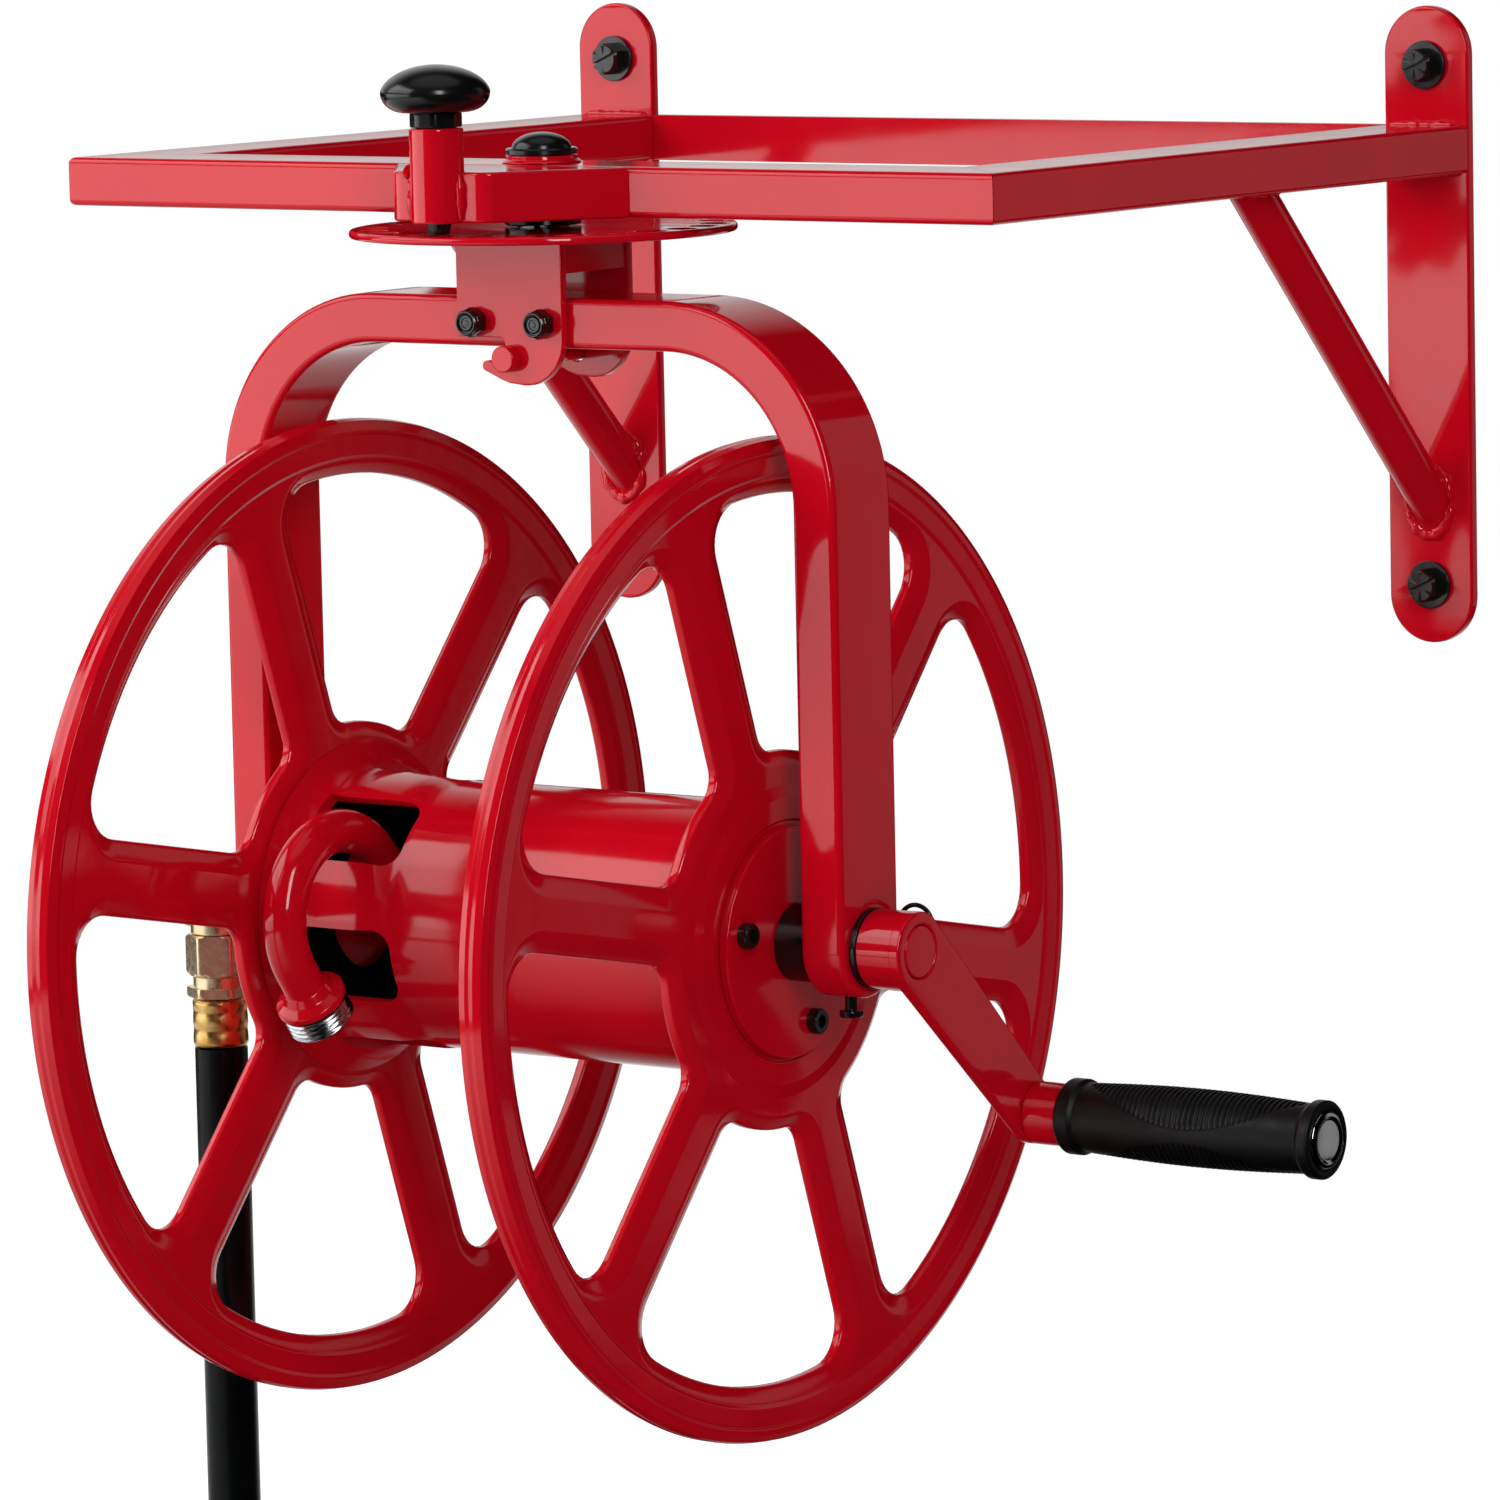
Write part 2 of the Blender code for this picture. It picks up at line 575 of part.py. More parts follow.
def yoke_band(half, bend, thick, drop):
    """Outline of an upside-down U of even thickness, its legs ending at the height drop."""
    high = YOKE_Z + thick / 2
    outer = bend
    inner = bend - thick
    cx, cz = half - bend, high - bend
    edge = arc((cx, cz), outer, 0, 90, 8) + arc((-cx, cz), outer, 90, 180, 8)
    edge += [(-half, drop), (-half + thick, drop)]
    edge += arc((-cx, cz), inner, 180, 90, 8) + arc((cx, cz), inner, 90, 0, 8)
    edge += [(half - thick, drop), (half, drop)]
    return edge


def yoke(parts, cutters):
    """The bent rectangular tube that carries the reel, its leg ends closed and round."""
    edge = 2.2
    solid = outline("yoke", [yoke_band(YOKE_HALF, YOKE_BEND, TUBE_HIGH, AXLE_Z - edge)], TUBE_WIDE,
                    facing("Y", (0, SWIVEL_Y, 0)), PAINT, parts)
    round_edges(solid, edge, 1, 50)
    inside = TUBE_WALL
    cavity = outline("yoke cavity", [yoke_band(YOKE_HALF - inside, YOKE_BEND - inside,
                                               TUBE_HIGH - 2 * inside, AXLE_Z)],
                     TUBE_WIDE - 2 * inside, facing("Y", (0, SWIVEL_Y, 0)), None, cutters)
    trim = 0.05
    for side in (-1, 1):
        x0, x1 = sorted((side * YOKE_HALF, side * (YOKE_HALF - TUBE_HIGH)))
        end = rod("leg end", TUBE_WIDE / 2 - trim, x0 + trim, x1 - trim, "X", (0, SWIVEL_Y, AXLE_Z), None,
                  cutters, 28)
        round_edges(end, edge, 1, 50)
        boolean(solid, end, "UNION")
    for side in (-1, 1):
        x0, x1 = sorted((side * (YOKE_HALF - inside - trim), side * (YOKE_HALF - TUBE_HIGH + inside + trim)))
        hollow = rod("leg hollow", TUBE_WIDE / 2 - inside - trim, x0, x1, "X", (0, SWIVEL_Y, AXLE_Z), None,
                     cutters, 24)
        boolean(cavity, hollow, "UNION")
    boolean(solid, cavity)
    beyond = YOKE_HALF + 15
    boolean(solid, rod("axle bore", LEG_BORE, -beyond, beyond, "X", (0, SWIVEL_Y, AXLE_Z), None, cutters, 24))
    for side in (-1, 1):
        boolean(solid, rod("bolt way", 3.45, SWIVEL_Y - 30, SWIVEL_Y + 30, "Y",
                           (side * CLEVIS_BOLT_X, 0, YOKE_Z), None, cutters, 14))
    boolean(solid, rod("screw way", 2.9, AXLE_Z - 30, AXLE_Z - 8, "Z",
                       (DRAG_SCREW_X, SWIVEL_Y, 0), None, cutters, 12))
    rebase(solid, (0, SWIVEL_Y, 0))


def window_outline(grow):
    """Outline of one wheel window between two spokes, moved outward by grow.

    In polar form about the hub: the sides lie SPOKE_HALF - 1.5 grow from the spokes' centre
    lines, the ends on circles of WINDOW_OUTER + grow and WINDOW_INNER - grow, and the four
    corners are arcs tangent to both.
    """
    side = SPOKE_HALF - 1.5 * grow
    outer, inner = WINDOW_OUTER + grow, WINDOW_INNER - grow
    round_out, round_in = 15.0 + grow, 10.0 + grow
    sector = 360.0 / SPOKES

    def corner(distance, offset, radius, first, last, count):
        x = math.sqrt(distance ** 2 - (side + offset) ** 2)
        return arc((x, side + offset), radius, first, last, count)

    angle_in = math.degrees(math.asin((side + round_in) / (inner + round_in)))
    angle_out = math.degrees(math.asin((side + round_out) / (outer - round_out)))
    lower = corner(inner + round_in, round_in, round_in, angle_in + 180, 270, 3)
    lower += corner(outer - round_out, round_out, round_out, -90, angle_out, 4)
    points = list(lower)
    points += arc((0, 0), outer, angle_out, sector - angle_out, 7)[1:-1]
    turn = math.radians(sector)
    for x, y in reversed(lower):
        points.append((x * math.cos(turn) + y * math.sin(turn), x * math.sin(turn) - y * math.cos(turn)))
    points += arc((0, 0), inner, sector - angle_in, angle_in, 3)[1:-1]
    return points


def window_cutter(name, centre_x, index, cutters):
    """A loft through a window: straight in the middle, opening out to both faces."""
    levels = [(-WHEEL_HALF - 3.0, 9.6), (-1.9, 0.0), (1.9, 0.0), (WHEEL_HALF + 3.0, 9.6)]
    turn = math.radians(SPOKE_ANGLE + 360.0 * index / SPOKES)
    work = bmesh.new()
    rings = []
    for x, grow in levels:
        ring = []
        for u, v in window_outline(grow):
            y = -(u * math.cos(turn) - v * math.sin(turn))
            z = u * math.sin(turn) + v * math.cos(turn)
            ring.append(work.verts.new(Vector((centre_x + x, SWIVEL_Y + y, AXLE_Z + z)) * MM))
        rings.append(ring)
    count = len(rings[0])
    for first, second in zip(rings, rings[1:]):
        for i in range(count):
            j = (i + 1) % count
            work.faces.new((first[i], first[j], second[j], second[i]))
    work.faces.new(rings[0])
    work.faces.new(rings[-1])
    return finish(work, name, None, cutters)


def wheel_profile(side):
    """Points of (radius, height) round the wheel's section, from one bore edge to the other.

    Both faces lie WHEEL_HALF from the middle. The outer face has a raised ring round the hub
    plate and two stepped rings at the rim, the inner face one plain ring at the rim.
    """
    bore = AXLE_RADIUS + GAP
    rim = WHEEL_RADIUS
    land = WHEEL_HALF
    ring = HUB_RADIUS + 1.5
    outer = [(bore, land), (ring, land), (ring + 0.6, land + 0.9), (ring + 10.5, land + 0.9),
             (ring + 13.5, land), (rim - 15.0, land), (rim - 14.2, land + 1.1), (rim - 9.2, land + 1.1),
             (rim - 8.0, land - 0.2),
             (rim - 6.2, land + 1.3), (rim - 1.6, land + 1.3), (rim, land - 0.4)]
    inner = [(rim, -land + 0.4), (rim - 1.6, -land - 1.3), (rim - 14.0, -land - 1.3), (rim - 15.0, -land),
             (bore, -land)]
    points = outer + inner
    if side < 0:
        points = [(radius, -height) for radius, height in reversed(points)]
    return points


def wheels(parts, cutters):
    """Two cast wheels of six spokes, each with a stepped rim and bevelled windows."""
    for side, name in ((-1, "left_wheel"), (1, "right_wheel")):
        x = side * WHEEL_X
        wheel = turned(name, wheel_profile(side), "X", (x, SWIVEL_Y, AXLE_Z), PAINT, parts, 48)
        for i in range(SPOKES):
            boolean(wheel, window_cutter("window", x, i, cutters))
        rebase(wheel, (x, SWIVEL_Y, AXLE_Z))


def hubs(parts, cutters):
    """A round plate over each wheel's hub."""
    for side, label in ((-1, "left"), (1, "right")):
        face = WHEEL_X + WHEEL_HALF + GAP
        out = face + HUB_THICK
        profile = [(AXLE_RADIUS + GAP, side * face), (AXLE_RADIUS + GAP, side * out),
                   (HUB_RADIUS - 0.6, side * out), (HUB_RADIUS, side * (out - 0.6)),
                   (HUB_RADIUS, side * face)]
        plate = turned(label + "_hub_plate", profile, "X", (0, SWIVEL_Y, AXLE_Z), PAINT, parts, 36)
        rebase(plate, (0, SWIVEL_Y, AXLE_Z))


def drum(parts, cutters):
    """The hose drum: a tube that flares into both hubs, with windows near the left end."""
    end = WHEEL_X - WHEEL_HALF - GAP
    r = DRUM_RADIUS
    flare = [(r + 13.0, end), (r + 7.0, end - 4.0), (r + 2.6, end - 9.5), (r, end - 20.0)]
    band = [(r, DRUM_WINDOW[1] - 2.0), (r + DRUM_BAND / 2, DRUM_WINDOW[1] - 9.0),
            (r + DRUM_BAND, DRUM_WINDOW[1] - 16.0)]
    band += [(max(a, r + DRUM_BAND), -h) for a, h in reversed(flare)]
    inside = [(r - DRUM_WALL, -end + 4.0), (r - DRUM_WALL, end - 4.0)]
    profile = flare + band + [(24.0, -end), (24.0, -end + 4.0)] + inside
    profile += [(24.0, end - 4.0), (24.0, end)]
    body = turned("drum", profile, "X", (0, SWIVEL_Y, AXLE_Z), PAINT, parts, 36)
    for i in range(SPOKES):
        boolean(body, drum_window(i, cutters))
    rebase(body, (0, SWIVEL_Y, AXLE_Z))


def drum_window(index, cutters):
    """A radial cutter between two spokes' lines, its end towards the middle rounded."""
    turn = math.radians(SPOKE_ANGLE + DRUM_WINDOW_TURN + 360.0 / SPOKES * index)
    low, high = DRUM_WINDOW
    half, corner = DRUM_WINDOW_HALF, DRUM_WINDOW_ROUND
    shape = [(low, -half)] + arc((high - corner, corner - half), corner, 270, 360, 3)
    shape += arc((high - corner, half - corner), corner, 0, 90, 3) + [(low, half)]
    matrix = Matrix.Translation(Vector((0, SWIVEL_Y, AXLE_Z)) * MM) @ Matrix.Rotation(
        math.radians(90) - turn, 4, "X") @ Matrix.Translation((0, 0, DRUM_RADIUS * MM))
    return outline("drum window", [shape], 36.0, matrix, None, cutters)


def axles(parts, cutters):
    """The solid right axle and the hollow left one that lets the water in."""
    centre = (0, SWIVEL_Y, AXLE_Z)
    r = AXLE_RADIUS
    inner_end = WHEEL_X - 41.6
    axle = turned("right_axle", [(0, CRANK_END), (r - 0.6, CRANK_END), (r, CRANK_END - 0.6), (r, inner_end),
                                 (0, inner_end)], "X", centre, PAINT, parts, 24)
    boolean(axle, rod("pin way", 1.9, SWIVEL_Y - CRANK_PIN_DEPTH, SWIVEL_Y + 30, "Y",
                      (CRANK_PIN_X, 0, AXLE_Z), None, cutters, 14))
    outer_end = INLET_X + 6.0
    inner_end = 55.6 - WHEEL_X
    turned("inlet_pipe", [(r, inner_end), (r, outer_end), (6.4, outer_end), (6.4, inner_end)], "X", centre,
           PAINT, parts, 24)
    leg_in, leg_out = YOKE_HALF - TUBE_HIGH, YOKE_HALF
    for side, label in ((-1, "left"), (1, "right")):
        hub = WHEEL_X + WHEEL_HALF + GAP + HUB_THICK + GAP
        shape = [(14.7, hub), (14.7, leg_in - GAP), (LEG_BORE - GAP, leg_in - GAP), (LEG_BORE - GAP, leg_out),
                 (r + GAP, leg_out), (r + GAP, hub)]
        washer = [(15.3, leg_out + GAP), (15.3, leg_out + WASHER_THICK), (r + GAP, leg_out + WASHER_THICK),
                  (r + GAP, leg_out + GAP)]
        if side > 0:
            shape, washer = shape[::-1], washer[::-1]
        turned(label + "_axle_bushing", [(a, side * h) for a, h in shape], "X", centre, PLASTIC, parts, 24)
        turned(label + "_axle_washer", [(a, side * h) for a, h in washer], "X", centre, PLASTIC, parts, 24)
    low = AXLE_Z - TUBE_WIDE / 2
    screw = rod("drag_screw", 2.3, low - 5.5, AXLE_Z - LEG_BORE - GAP, "Z", (DRAG_SCREW_X, SWIVEL_Y, 0),
                BLACK_STEEL, parts, 16)
    boolean(screw, rod("screw head", 4.4, low - 8.0, low - 5.0, "Z", (DRAG_SCREW_X, SWIVEL_Y, 0), None,
                       cutters, 16), "UNION")
    for name in ("right_axle", "inlet_pipe"):
        rebase(bpy.data.objects[name], centre)


def crank(parts, cutters):
    """The crank: a boss pinned to the axle, a flat arm, a spindle and a free-turning grip."""
    centre = (0, SWIVEL_Y, AXLE_Z)
    bore = AXLE_RADIUS + GAP
    outer = 15.1
    arm_in = CRANK_END - 5.0
    slope = math.radians(CRANK_ANGLE)
    hand = (CRANK_LENGTH * math.cos(slope), CRANK_LENGTH * math.sin(slope))
    lean = math.degrees(math.asin((outer - 12.0) / CRANK_LENGTH))
    edge = arc((0, 0), outer, CRANK_ANGLE + 90 - lean, CRANK_ANGLE + 270 + lean, 12)
    edge += arc(hand, 12.0, CRANK_ANGLE - 90 + lean, CRANK_ANGLE + 90 - lean, 8)
    arm = outline("crank_arm", [edge, circle(hand, 5.3, 16)], 5.0,
                  facing("X", (CRANK_END - 2.5, SWIVEL_Y, AXLE_Z)), PAINT, parts)
    boss_start = YOKE_HALF + WASHER_THICK + GAP
    boolean(arm, rod("boss", outer - 0.1, boss_start, CRANK_END - 2.0, "X", (0, SWIVEL_Y, AXLE_Z),
                     None, cutters, 24), "UNION")
    boolean(arm, rod("bore", bore, boss_start - 20, CRANK_END + 20, "X", (0, SWIVEL_Y, AXLE_Z), None,
                     cutters, 20))
    boolean(arm, rod("pin way", 1.9, SWIVEL_Y, SWIVEL_Y + 30, "Y", (CRANK_PIN_X, 0, AXLE_Z), None,
                     cutters, 14))
    hand_centre = (0, SWIVEL_Y + hand[0], AXLE_Z + hand[1])
    collar_end = GRIP_START - GAP
    turned("handle_collar", [(11.4, collar_end), (12.0, collar_end - 0.6), (12.0, CRANK_END + GAP),
                             (5.3, CRANK_END + GAP), (5.3, collar_end)], "X", hand_centre, PAINT, parts, 28)
    spindle = turned("handle_spindle", [(0, GRIP_END + 0.2), (5.0, GRIP_END + 0.2), (5.0, arm_in - GAP),
                                        (7.5, arm_in - GAP), (7.5, arm_in - 3.0), (0, arm_in - 3.0)], "X",
                     hand_centre, BRIGHT, parts, 20)
    a, b = GRIP_START, GRIP_END
    grip = turned("crank_grip", [(13.6, b), (14.3, b - 0.9), (14.3, b - 3.6), (12.8, b - 5.0),
                                 (13.1, (a + b) / 2), (12.7, a + 10.0), (14.6, a + 6.8), (14.6, a + 1.0),
                                 (13.6, a), (5.4, a), (5.4, b)], "X", hand_centre, GRIP_RUBBER, parts, 24)
    cap = turned("grip_end_cap", [(0, b + 10.7), (4.2, b + 9.9), (7.4, b + 7.7), (9.4, b + 4.8),
                                  (10.6, b + 3.6), (10.6, b + GAP), (5.6, b + GAP), (5.6, b + 1.2),
                                  (0, b + 1.2)], "X",
                 hand_centre, BRIGHT, parts, 28)
    pin_out = outer + 2.2
    pin = rod("crank_pin", 1.6, SWIVEL_Y - CRANK_PIN_DEPTH + GAP, SWIVEL_Y + pin_out, "Y",
              (CRANK_PIN_X, 0, AXLE_Z), BLACK_STEEL, parts, 14)
    ring, aside = 7.4, 1.6
    rise = math.sqrt(ring ** 2 - aside ** 2)
    ring_points = [(CRANK_PIN_X - aside + ring * math.cos(t), SWIVEL_Y + pin_out - 0.3, AXLE_Z + rise
                    + ring * math.sin(t)) for t in [2 * math.pi * i / 18 for i in range(18)]]
    boolean(pin, closed_tube("pull ring", ring_points, 0.9, None, cutters), "UNION")
    for item in (arm, pin):
        rebase(item, centre)
    for item in (bpy.data.objects["handle_collar"], spindle, grip, cap):
        rebase(item, hand_centre)


def closed_tube(name, points, radius, look, group):
    """A round wire along a closed loop of points."""
    curve = bpy.data.curves.new(name, "CURVE")
    curve.dimensions = "3D"
    curve.bevel_depth = radius * MM
    curve.bevel_resolution = 1
    spline = curve.splines.new("POLY")
    spline.points.add(len(points) - 1)
    for point, place_at in zip(spline.points, points):
        point.co = (*(Vector(place_at) * MM), 1.0)
    spline.use_cyclic_u = True
    helper = bpy.data.objects.new(name, curve)
    bpy.context.scene.collection.objects.link(helper)
    mesh = evaluated_mesh(helper, name)
    bpy.data.objects.remove(helper, do_unlink=True)
    return place(name, mesh, look, group)


def goose_point(angle):
    """A point on the outlet bend, which lies in an upright plane square to the axle."""
    turn = math.radians(angle)
    x, y, z = GOOSE_CENTRE
    return Vector((x, SWIVEL_Y + y - GOOSE_LOOP * math.cos(turn), AXLE_Z + z + GOOSE_LOOP * math.sin(turn)))


def outlet(parts, cutters):
    """The outlet bend out of the drum, its flared end and the threaded male end."""
    rise = math.radians(36)
    x = GOOSE_CENTRE[0] + 3.0
    points = []
    for reach in (AXLE_RADIUS + 2 * GAP, AXLE_RADIUS + 7.0):
        points.append(Vector((x, SWIVEL_Y - reach * math.cos(rise), AXLE_Z + reach * math.sin(rise))))
    points.append(Vector((x - 1.5, SWIVEL_Y - 21.5, AXLE_Z + 17.6)))
    count = 15
    points += [goose_point(GOOSE_FIRST + (GOOSE_LAST - GOOSE_FIRST) * i / count) for i in range(count + 1)]
    direction = (goose_point(GOOSE_LAST - 0.5) - goose_point(GOOSE_LAST + 0.5)).normalized()
    points.append(points[-1] + direction * OUTLET_STRAIGHT)
    bend = tube("outlet_bend", points, GOOSE_RADIUS, PAINT, parts, resolution=3)
    turn = direction.to_track_quat("Z", "Y").to_matrix().to_4x4()
    matrix = Matrix.Translation(points[-1] * MM) @ turn
    flare = turned("outlet flare", [(0, 5.5), (13.4, 5.5), (14.0, 4.7), (14.0, 2.6), (10.0, 0.3), (8.7, -1.5),
                                    (0, -1.5)], "Z", (0, 0, 0), None, cutters, 20)
    flare.data.transform(matrix)
    boolean(bend, flare, "UNION")
    thread = turned("outlet_thread", [(12.4, THREAD_END), (13.3, THREAD_END - 1.1), (13.3, 5.5 + GAP),
                                      (9.6, 5.5 + GAP), (9.6, THREAD_END)], "Z", (0, 0, 0), BRIGHT, parts, 28)
    thread.data.transform(matrix)
    centre = (0, SWIVEL_Y, AXLE_Z)
    for name in ("outlet_bend", "outlet_thread"):
        rebase(bpy.data.objects[name], centre)


def inlet(parts, cutters):
    """The inlet elbow outside the left leg and the brass fittings of the lead-in hose."""
    x, y = INLET_X, SWIVEL_Y
    r = AXLE_RADIUS
    leg = -(YOKE_HALF + WASHER_THICK + GAP)
    body = rod("inlet_elbow", 14.4, x - 12.0, leg, "X", (0, y, AXLE_Z), YELLOW_METAL, parts, 28)
    boolean(body, rod("elbow drop", 10.8, AXLE_Z - 15.7, AXLE_Z, "Z", (x, y, 0), None, cutters, 24), "UNION")
    boolean(body, rod("elbow spigot", 7.8, AXLE_Z - 31.0, AXLE_Z - 10, "Z", (x, y, 0), None, cutters, 20),
            "UNION")
    boolean(body, rod("elbow socket", r + GAP, x - 2.0, leg + 5, "X", (0, y, AXLE_Z), None, cutters, 24))
    boolean(body, rod("elbow way", 5.2, AXLE_Z - 40, AXLE_Z + 2, "Z", (x, y, 0), None, cutters, 16))
    nut = rod("coupling_nut", 13.2, AXLE_Z - 32.4, AXLE_Z - 16.0, "Z", (x, y, 0), YELLOW_METAL, parts, 6)
    boolean(nut, rod("nut bore", 7.8 + GAP, AXLE_Z - 50, AXLE_Z, "Z", (x, y, 0), None, cutters, 20))
    round_edges(nut, 0.9, 1, 50)
    neck = rod("hose_fitting", 10.3, AXLE_Z - 41.1, AXLE_Z - 32.7, "Z", (x, y, 0), YELLOW_METAL, parts, 24)
    boolean(neck, rod("fitting hex", 13.1, AXLE_Z - 41.1, AXLE_Z - 37.3, "Z", (x, y, 0), None, cutters, 6),
            "UNION")
    boolean(neck, rod("fitting way", 5.2, AXLE_Z - 60, AXLE_Z, "Z", (x, y, 0), None, cutters, 24))
    top = AXLE_Z - 41.4
    turned("hose_ferrule", [(0, top), (9.6, top), (10.8, top - 1.4), (10.9, top - 4.0), (10.2, top - 6.5),
                            (10.9, top - 9.0), (10.3, top - 11.5), (10.9, top - 14.0), (10.9, top - 19.4),
                            (10.5, top - 20.0), (0, top - 20.0)], "Z", (x, y, 0), YELLOW_METAL, parts, 24)


def hose(parts, cutters):
    """The lead-in hose: a free length down from the ferrule, then a hanging coil.

    The coil turns in upright planes. Its turns follow a helix along +Y, and its tail ends in
    a hex coupling.
    """
    x, y = INLET_X, SWIVEL_Y
    free = [(x, y, HOSE_TOP + (COIL_CENTRE_Z - HOSE_TOP) * i / 7) for i in range(8)]
    free[-1] = (x, y, COIL_CENTRE_Z + GAP)
    tube("lead_in_hose", free, HOSE_RADIUS, GRIP_RUBBER, parts, resolution=3)
    steps = 24
    total = int(steps * COIL_TURNS)
    lead = 2 * HOSE_RADIUS
    points = [(x, y, COIL_CENTRE_Z)]
    for i in range(total + 1):
        angle = math.pi + 2 * math.pi * i / steps
        climb = COIL_PITCH * max(0.0, min(total - 2.0, i - 1.0)) / steps
        climb += END_STEP * (1 - math.cos(math.pi * max(0.0, i - total + 5.0) / 5)) / 2
        points.append((x + COIL_RADIUS + COIL_RADIUS * math.cos(angle), y + climb,
                       COIL_CENTRE_Z - lead + COIL_RADIUS * math.sin(angle)))
    end = points[-1]
    tail = (end[0], end[1], end[2] + lead)
    points.append(tail)
    print("coil least gap", round(least_gap(points, HOSE_RADIUS, 10), 2), "mm")
    print("hose length", round(path_length(free) + path_length(points), 1), "mm")
    tube("lead_in_hose_coil", points, HOSE_RADIUS, GRIP_RUBBER, parts, resolution=1)
    base = tail[2] + GAP
    nut = rod("hose_end_coupling", 16.5, base + 20.0, base + 38.0, "Z", (tail[0], tail[1], 0), YELLOW_METAL,
              parts, 8)
    boolean(nut, rod("end ferrule", 11.0, base, base + 22.0, "Z", (tail[0], tail[1], 0), None, cutters, 24),
            "UNION")
    boolean(nut, rod("coupling mouth", 13.3, base + 25.0, base + 50.0, "Z", (tail[0], tail[1], 0), None,
                     cutters, 32))


def hose_tie(parts, cutters):
    """A strap round both turns at the bottom of the coil."""
    angle_from_start = 0.25
    first = SWIVEL_Y + COIL_PITCH * (angle_from_start - 1 / 24)
    z = COIL_CENTRE_Z - 2 * HOSE_RADIUS - COIL_RADIUS
    loops = []
    for radius in (HOSE_RADIUS + 2.4, HOSE_RADIUS + 0.9):
        loops.append(arc((first + COIL_PITCH, z), radius, -90, 90, 12) + arc((first, z), radius, 90, 270, 12))
    outline("hose_tie", loops, 14.0, facing("X", (INLET_X + COIL_RADIUS, 0, 0)), PLASTIC, parts)


def path_length(points):
    return sum((Vector(b) - Vector(a)).length for a, b in zip(points, points[1:]))


def least_gap(points, radius, skip):
    """Least clear distance between stretches of a tube at least skip points apart."""
    fine = []
    for a, b in zip(points, points[1:]):
        fine += [Vector(a).lerp(Vector(b), k / 4) for k in range(4)]
    best = 1e9
    for i, first in enumerate(fine):
        for second in fine[i + skip * 4:]:
            best = min(best, (first - second).length - 2 * radius)
    return best


def build():
    clear_scene()
    parts = make_collection("wall_hose_reel")
    cutters = make_collection("cutters")
    for step in (wall_plates, lag_bolts, frame_tubes, braces, latch, swivel, index_disc, clevis, yoke,
                 wheels, hubs, drum, axles, crank, outlet, inlet, hose, hose_tie):
        step(parts, cutters)


build()
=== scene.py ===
"""A wall-mounted swivelling hose reel, dressed for its picture.

Sizes here are millimetres in the part's own frame, and MM turns them into metres. Every new piece
is built at the world origin from numpy grids or profiles and rides on the body of the solid that
it stands for. Each shape function's docstring says in words how its surface is worked out.
"""

import math

import bmesh
import bpy
import numpy as np
from mathutils import Matrix, Vector


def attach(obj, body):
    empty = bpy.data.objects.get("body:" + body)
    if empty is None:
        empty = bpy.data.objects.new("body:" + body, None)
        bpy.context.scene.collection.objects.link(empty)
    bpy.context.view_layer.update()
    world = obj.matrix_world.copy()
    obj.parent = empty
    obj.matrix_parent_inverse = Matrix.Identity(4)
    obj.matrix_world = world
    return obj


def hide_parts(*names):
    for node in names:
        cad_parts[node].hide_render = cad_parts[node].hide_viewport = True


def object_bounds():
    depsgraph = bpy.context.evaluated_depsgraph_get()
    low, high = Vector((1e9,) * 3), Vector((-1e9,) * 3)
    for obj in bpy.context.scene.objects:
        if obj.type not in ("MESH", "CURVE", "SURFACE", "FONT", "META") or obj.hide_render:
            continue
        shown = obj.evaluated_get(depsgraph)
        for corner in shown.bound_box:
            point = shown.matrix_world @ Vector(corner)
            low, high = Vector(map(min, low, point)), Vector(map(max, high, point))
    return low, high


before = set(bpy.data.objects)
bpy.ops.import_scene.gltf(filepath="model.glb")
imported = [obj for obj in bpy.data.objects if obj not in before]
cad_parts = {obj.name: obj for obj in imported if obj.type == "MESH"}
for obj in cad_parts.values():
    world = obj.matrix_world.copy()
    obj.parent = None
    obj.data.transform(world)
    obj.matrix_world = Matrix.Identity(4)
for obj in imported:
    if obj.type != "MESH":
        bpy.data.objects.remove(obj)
CAD_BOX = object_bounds()
MM = 0.001

# The photograph's camera: focal length in pixels of a 1500-pixel frame, angles in radians
FOCAL = 8218.43
IMAGE = 1500.0
SENSOR = 36.0
CAMERA_AT = (1885.22, -2818.29, 173.26)
CAMERA_YAW = 0.62322
CAMERA_PITCH = 0.124234
CAMERA_ROLL = -0.02105

# The studio, in metres: level directions of the screens, brightnesses with white as 1, and the
# soft boxes as rows of (name, low edge, high edge, radiance). The floor is in millimetres.
SCREEN_SIDE = (-0.766, 0.643, 0.0)
NARROW_SIDE = (0.485, 0.875, 0.0)
SCREEN_LIGHT = 0.85
NARROW_LIGHT = 0.27
CEILING_LIGHT = 0.35
SURROUND = 0.23
BOX_SIDE = (-0.788, -0.616)
BOX_DISTANCE = 3.0
BOX_WIDTH = 3.8
SOFT_BOXES = [("lowest box", -0.85, -0.45, 1.5), ("low box", -0.45, 0.15, 2.3),
              ("high box", 0.81, 1.9, 2.1), ("top box", 1.9, 3.3, 2.75)]
FLOOR_LIGHT = 0.85
# The floor's painted shadow and painted light that only gloss sees: black out to GLOW_FROM metres, then
# brighter by GLOW_SLOPE times the logarithm of the distance
GLOW_FROM = 0.45
GLOW_SLOPE = 0.65
FLOOR_RADIUS = 2600.0
FLOOR_BELOW = 60.0

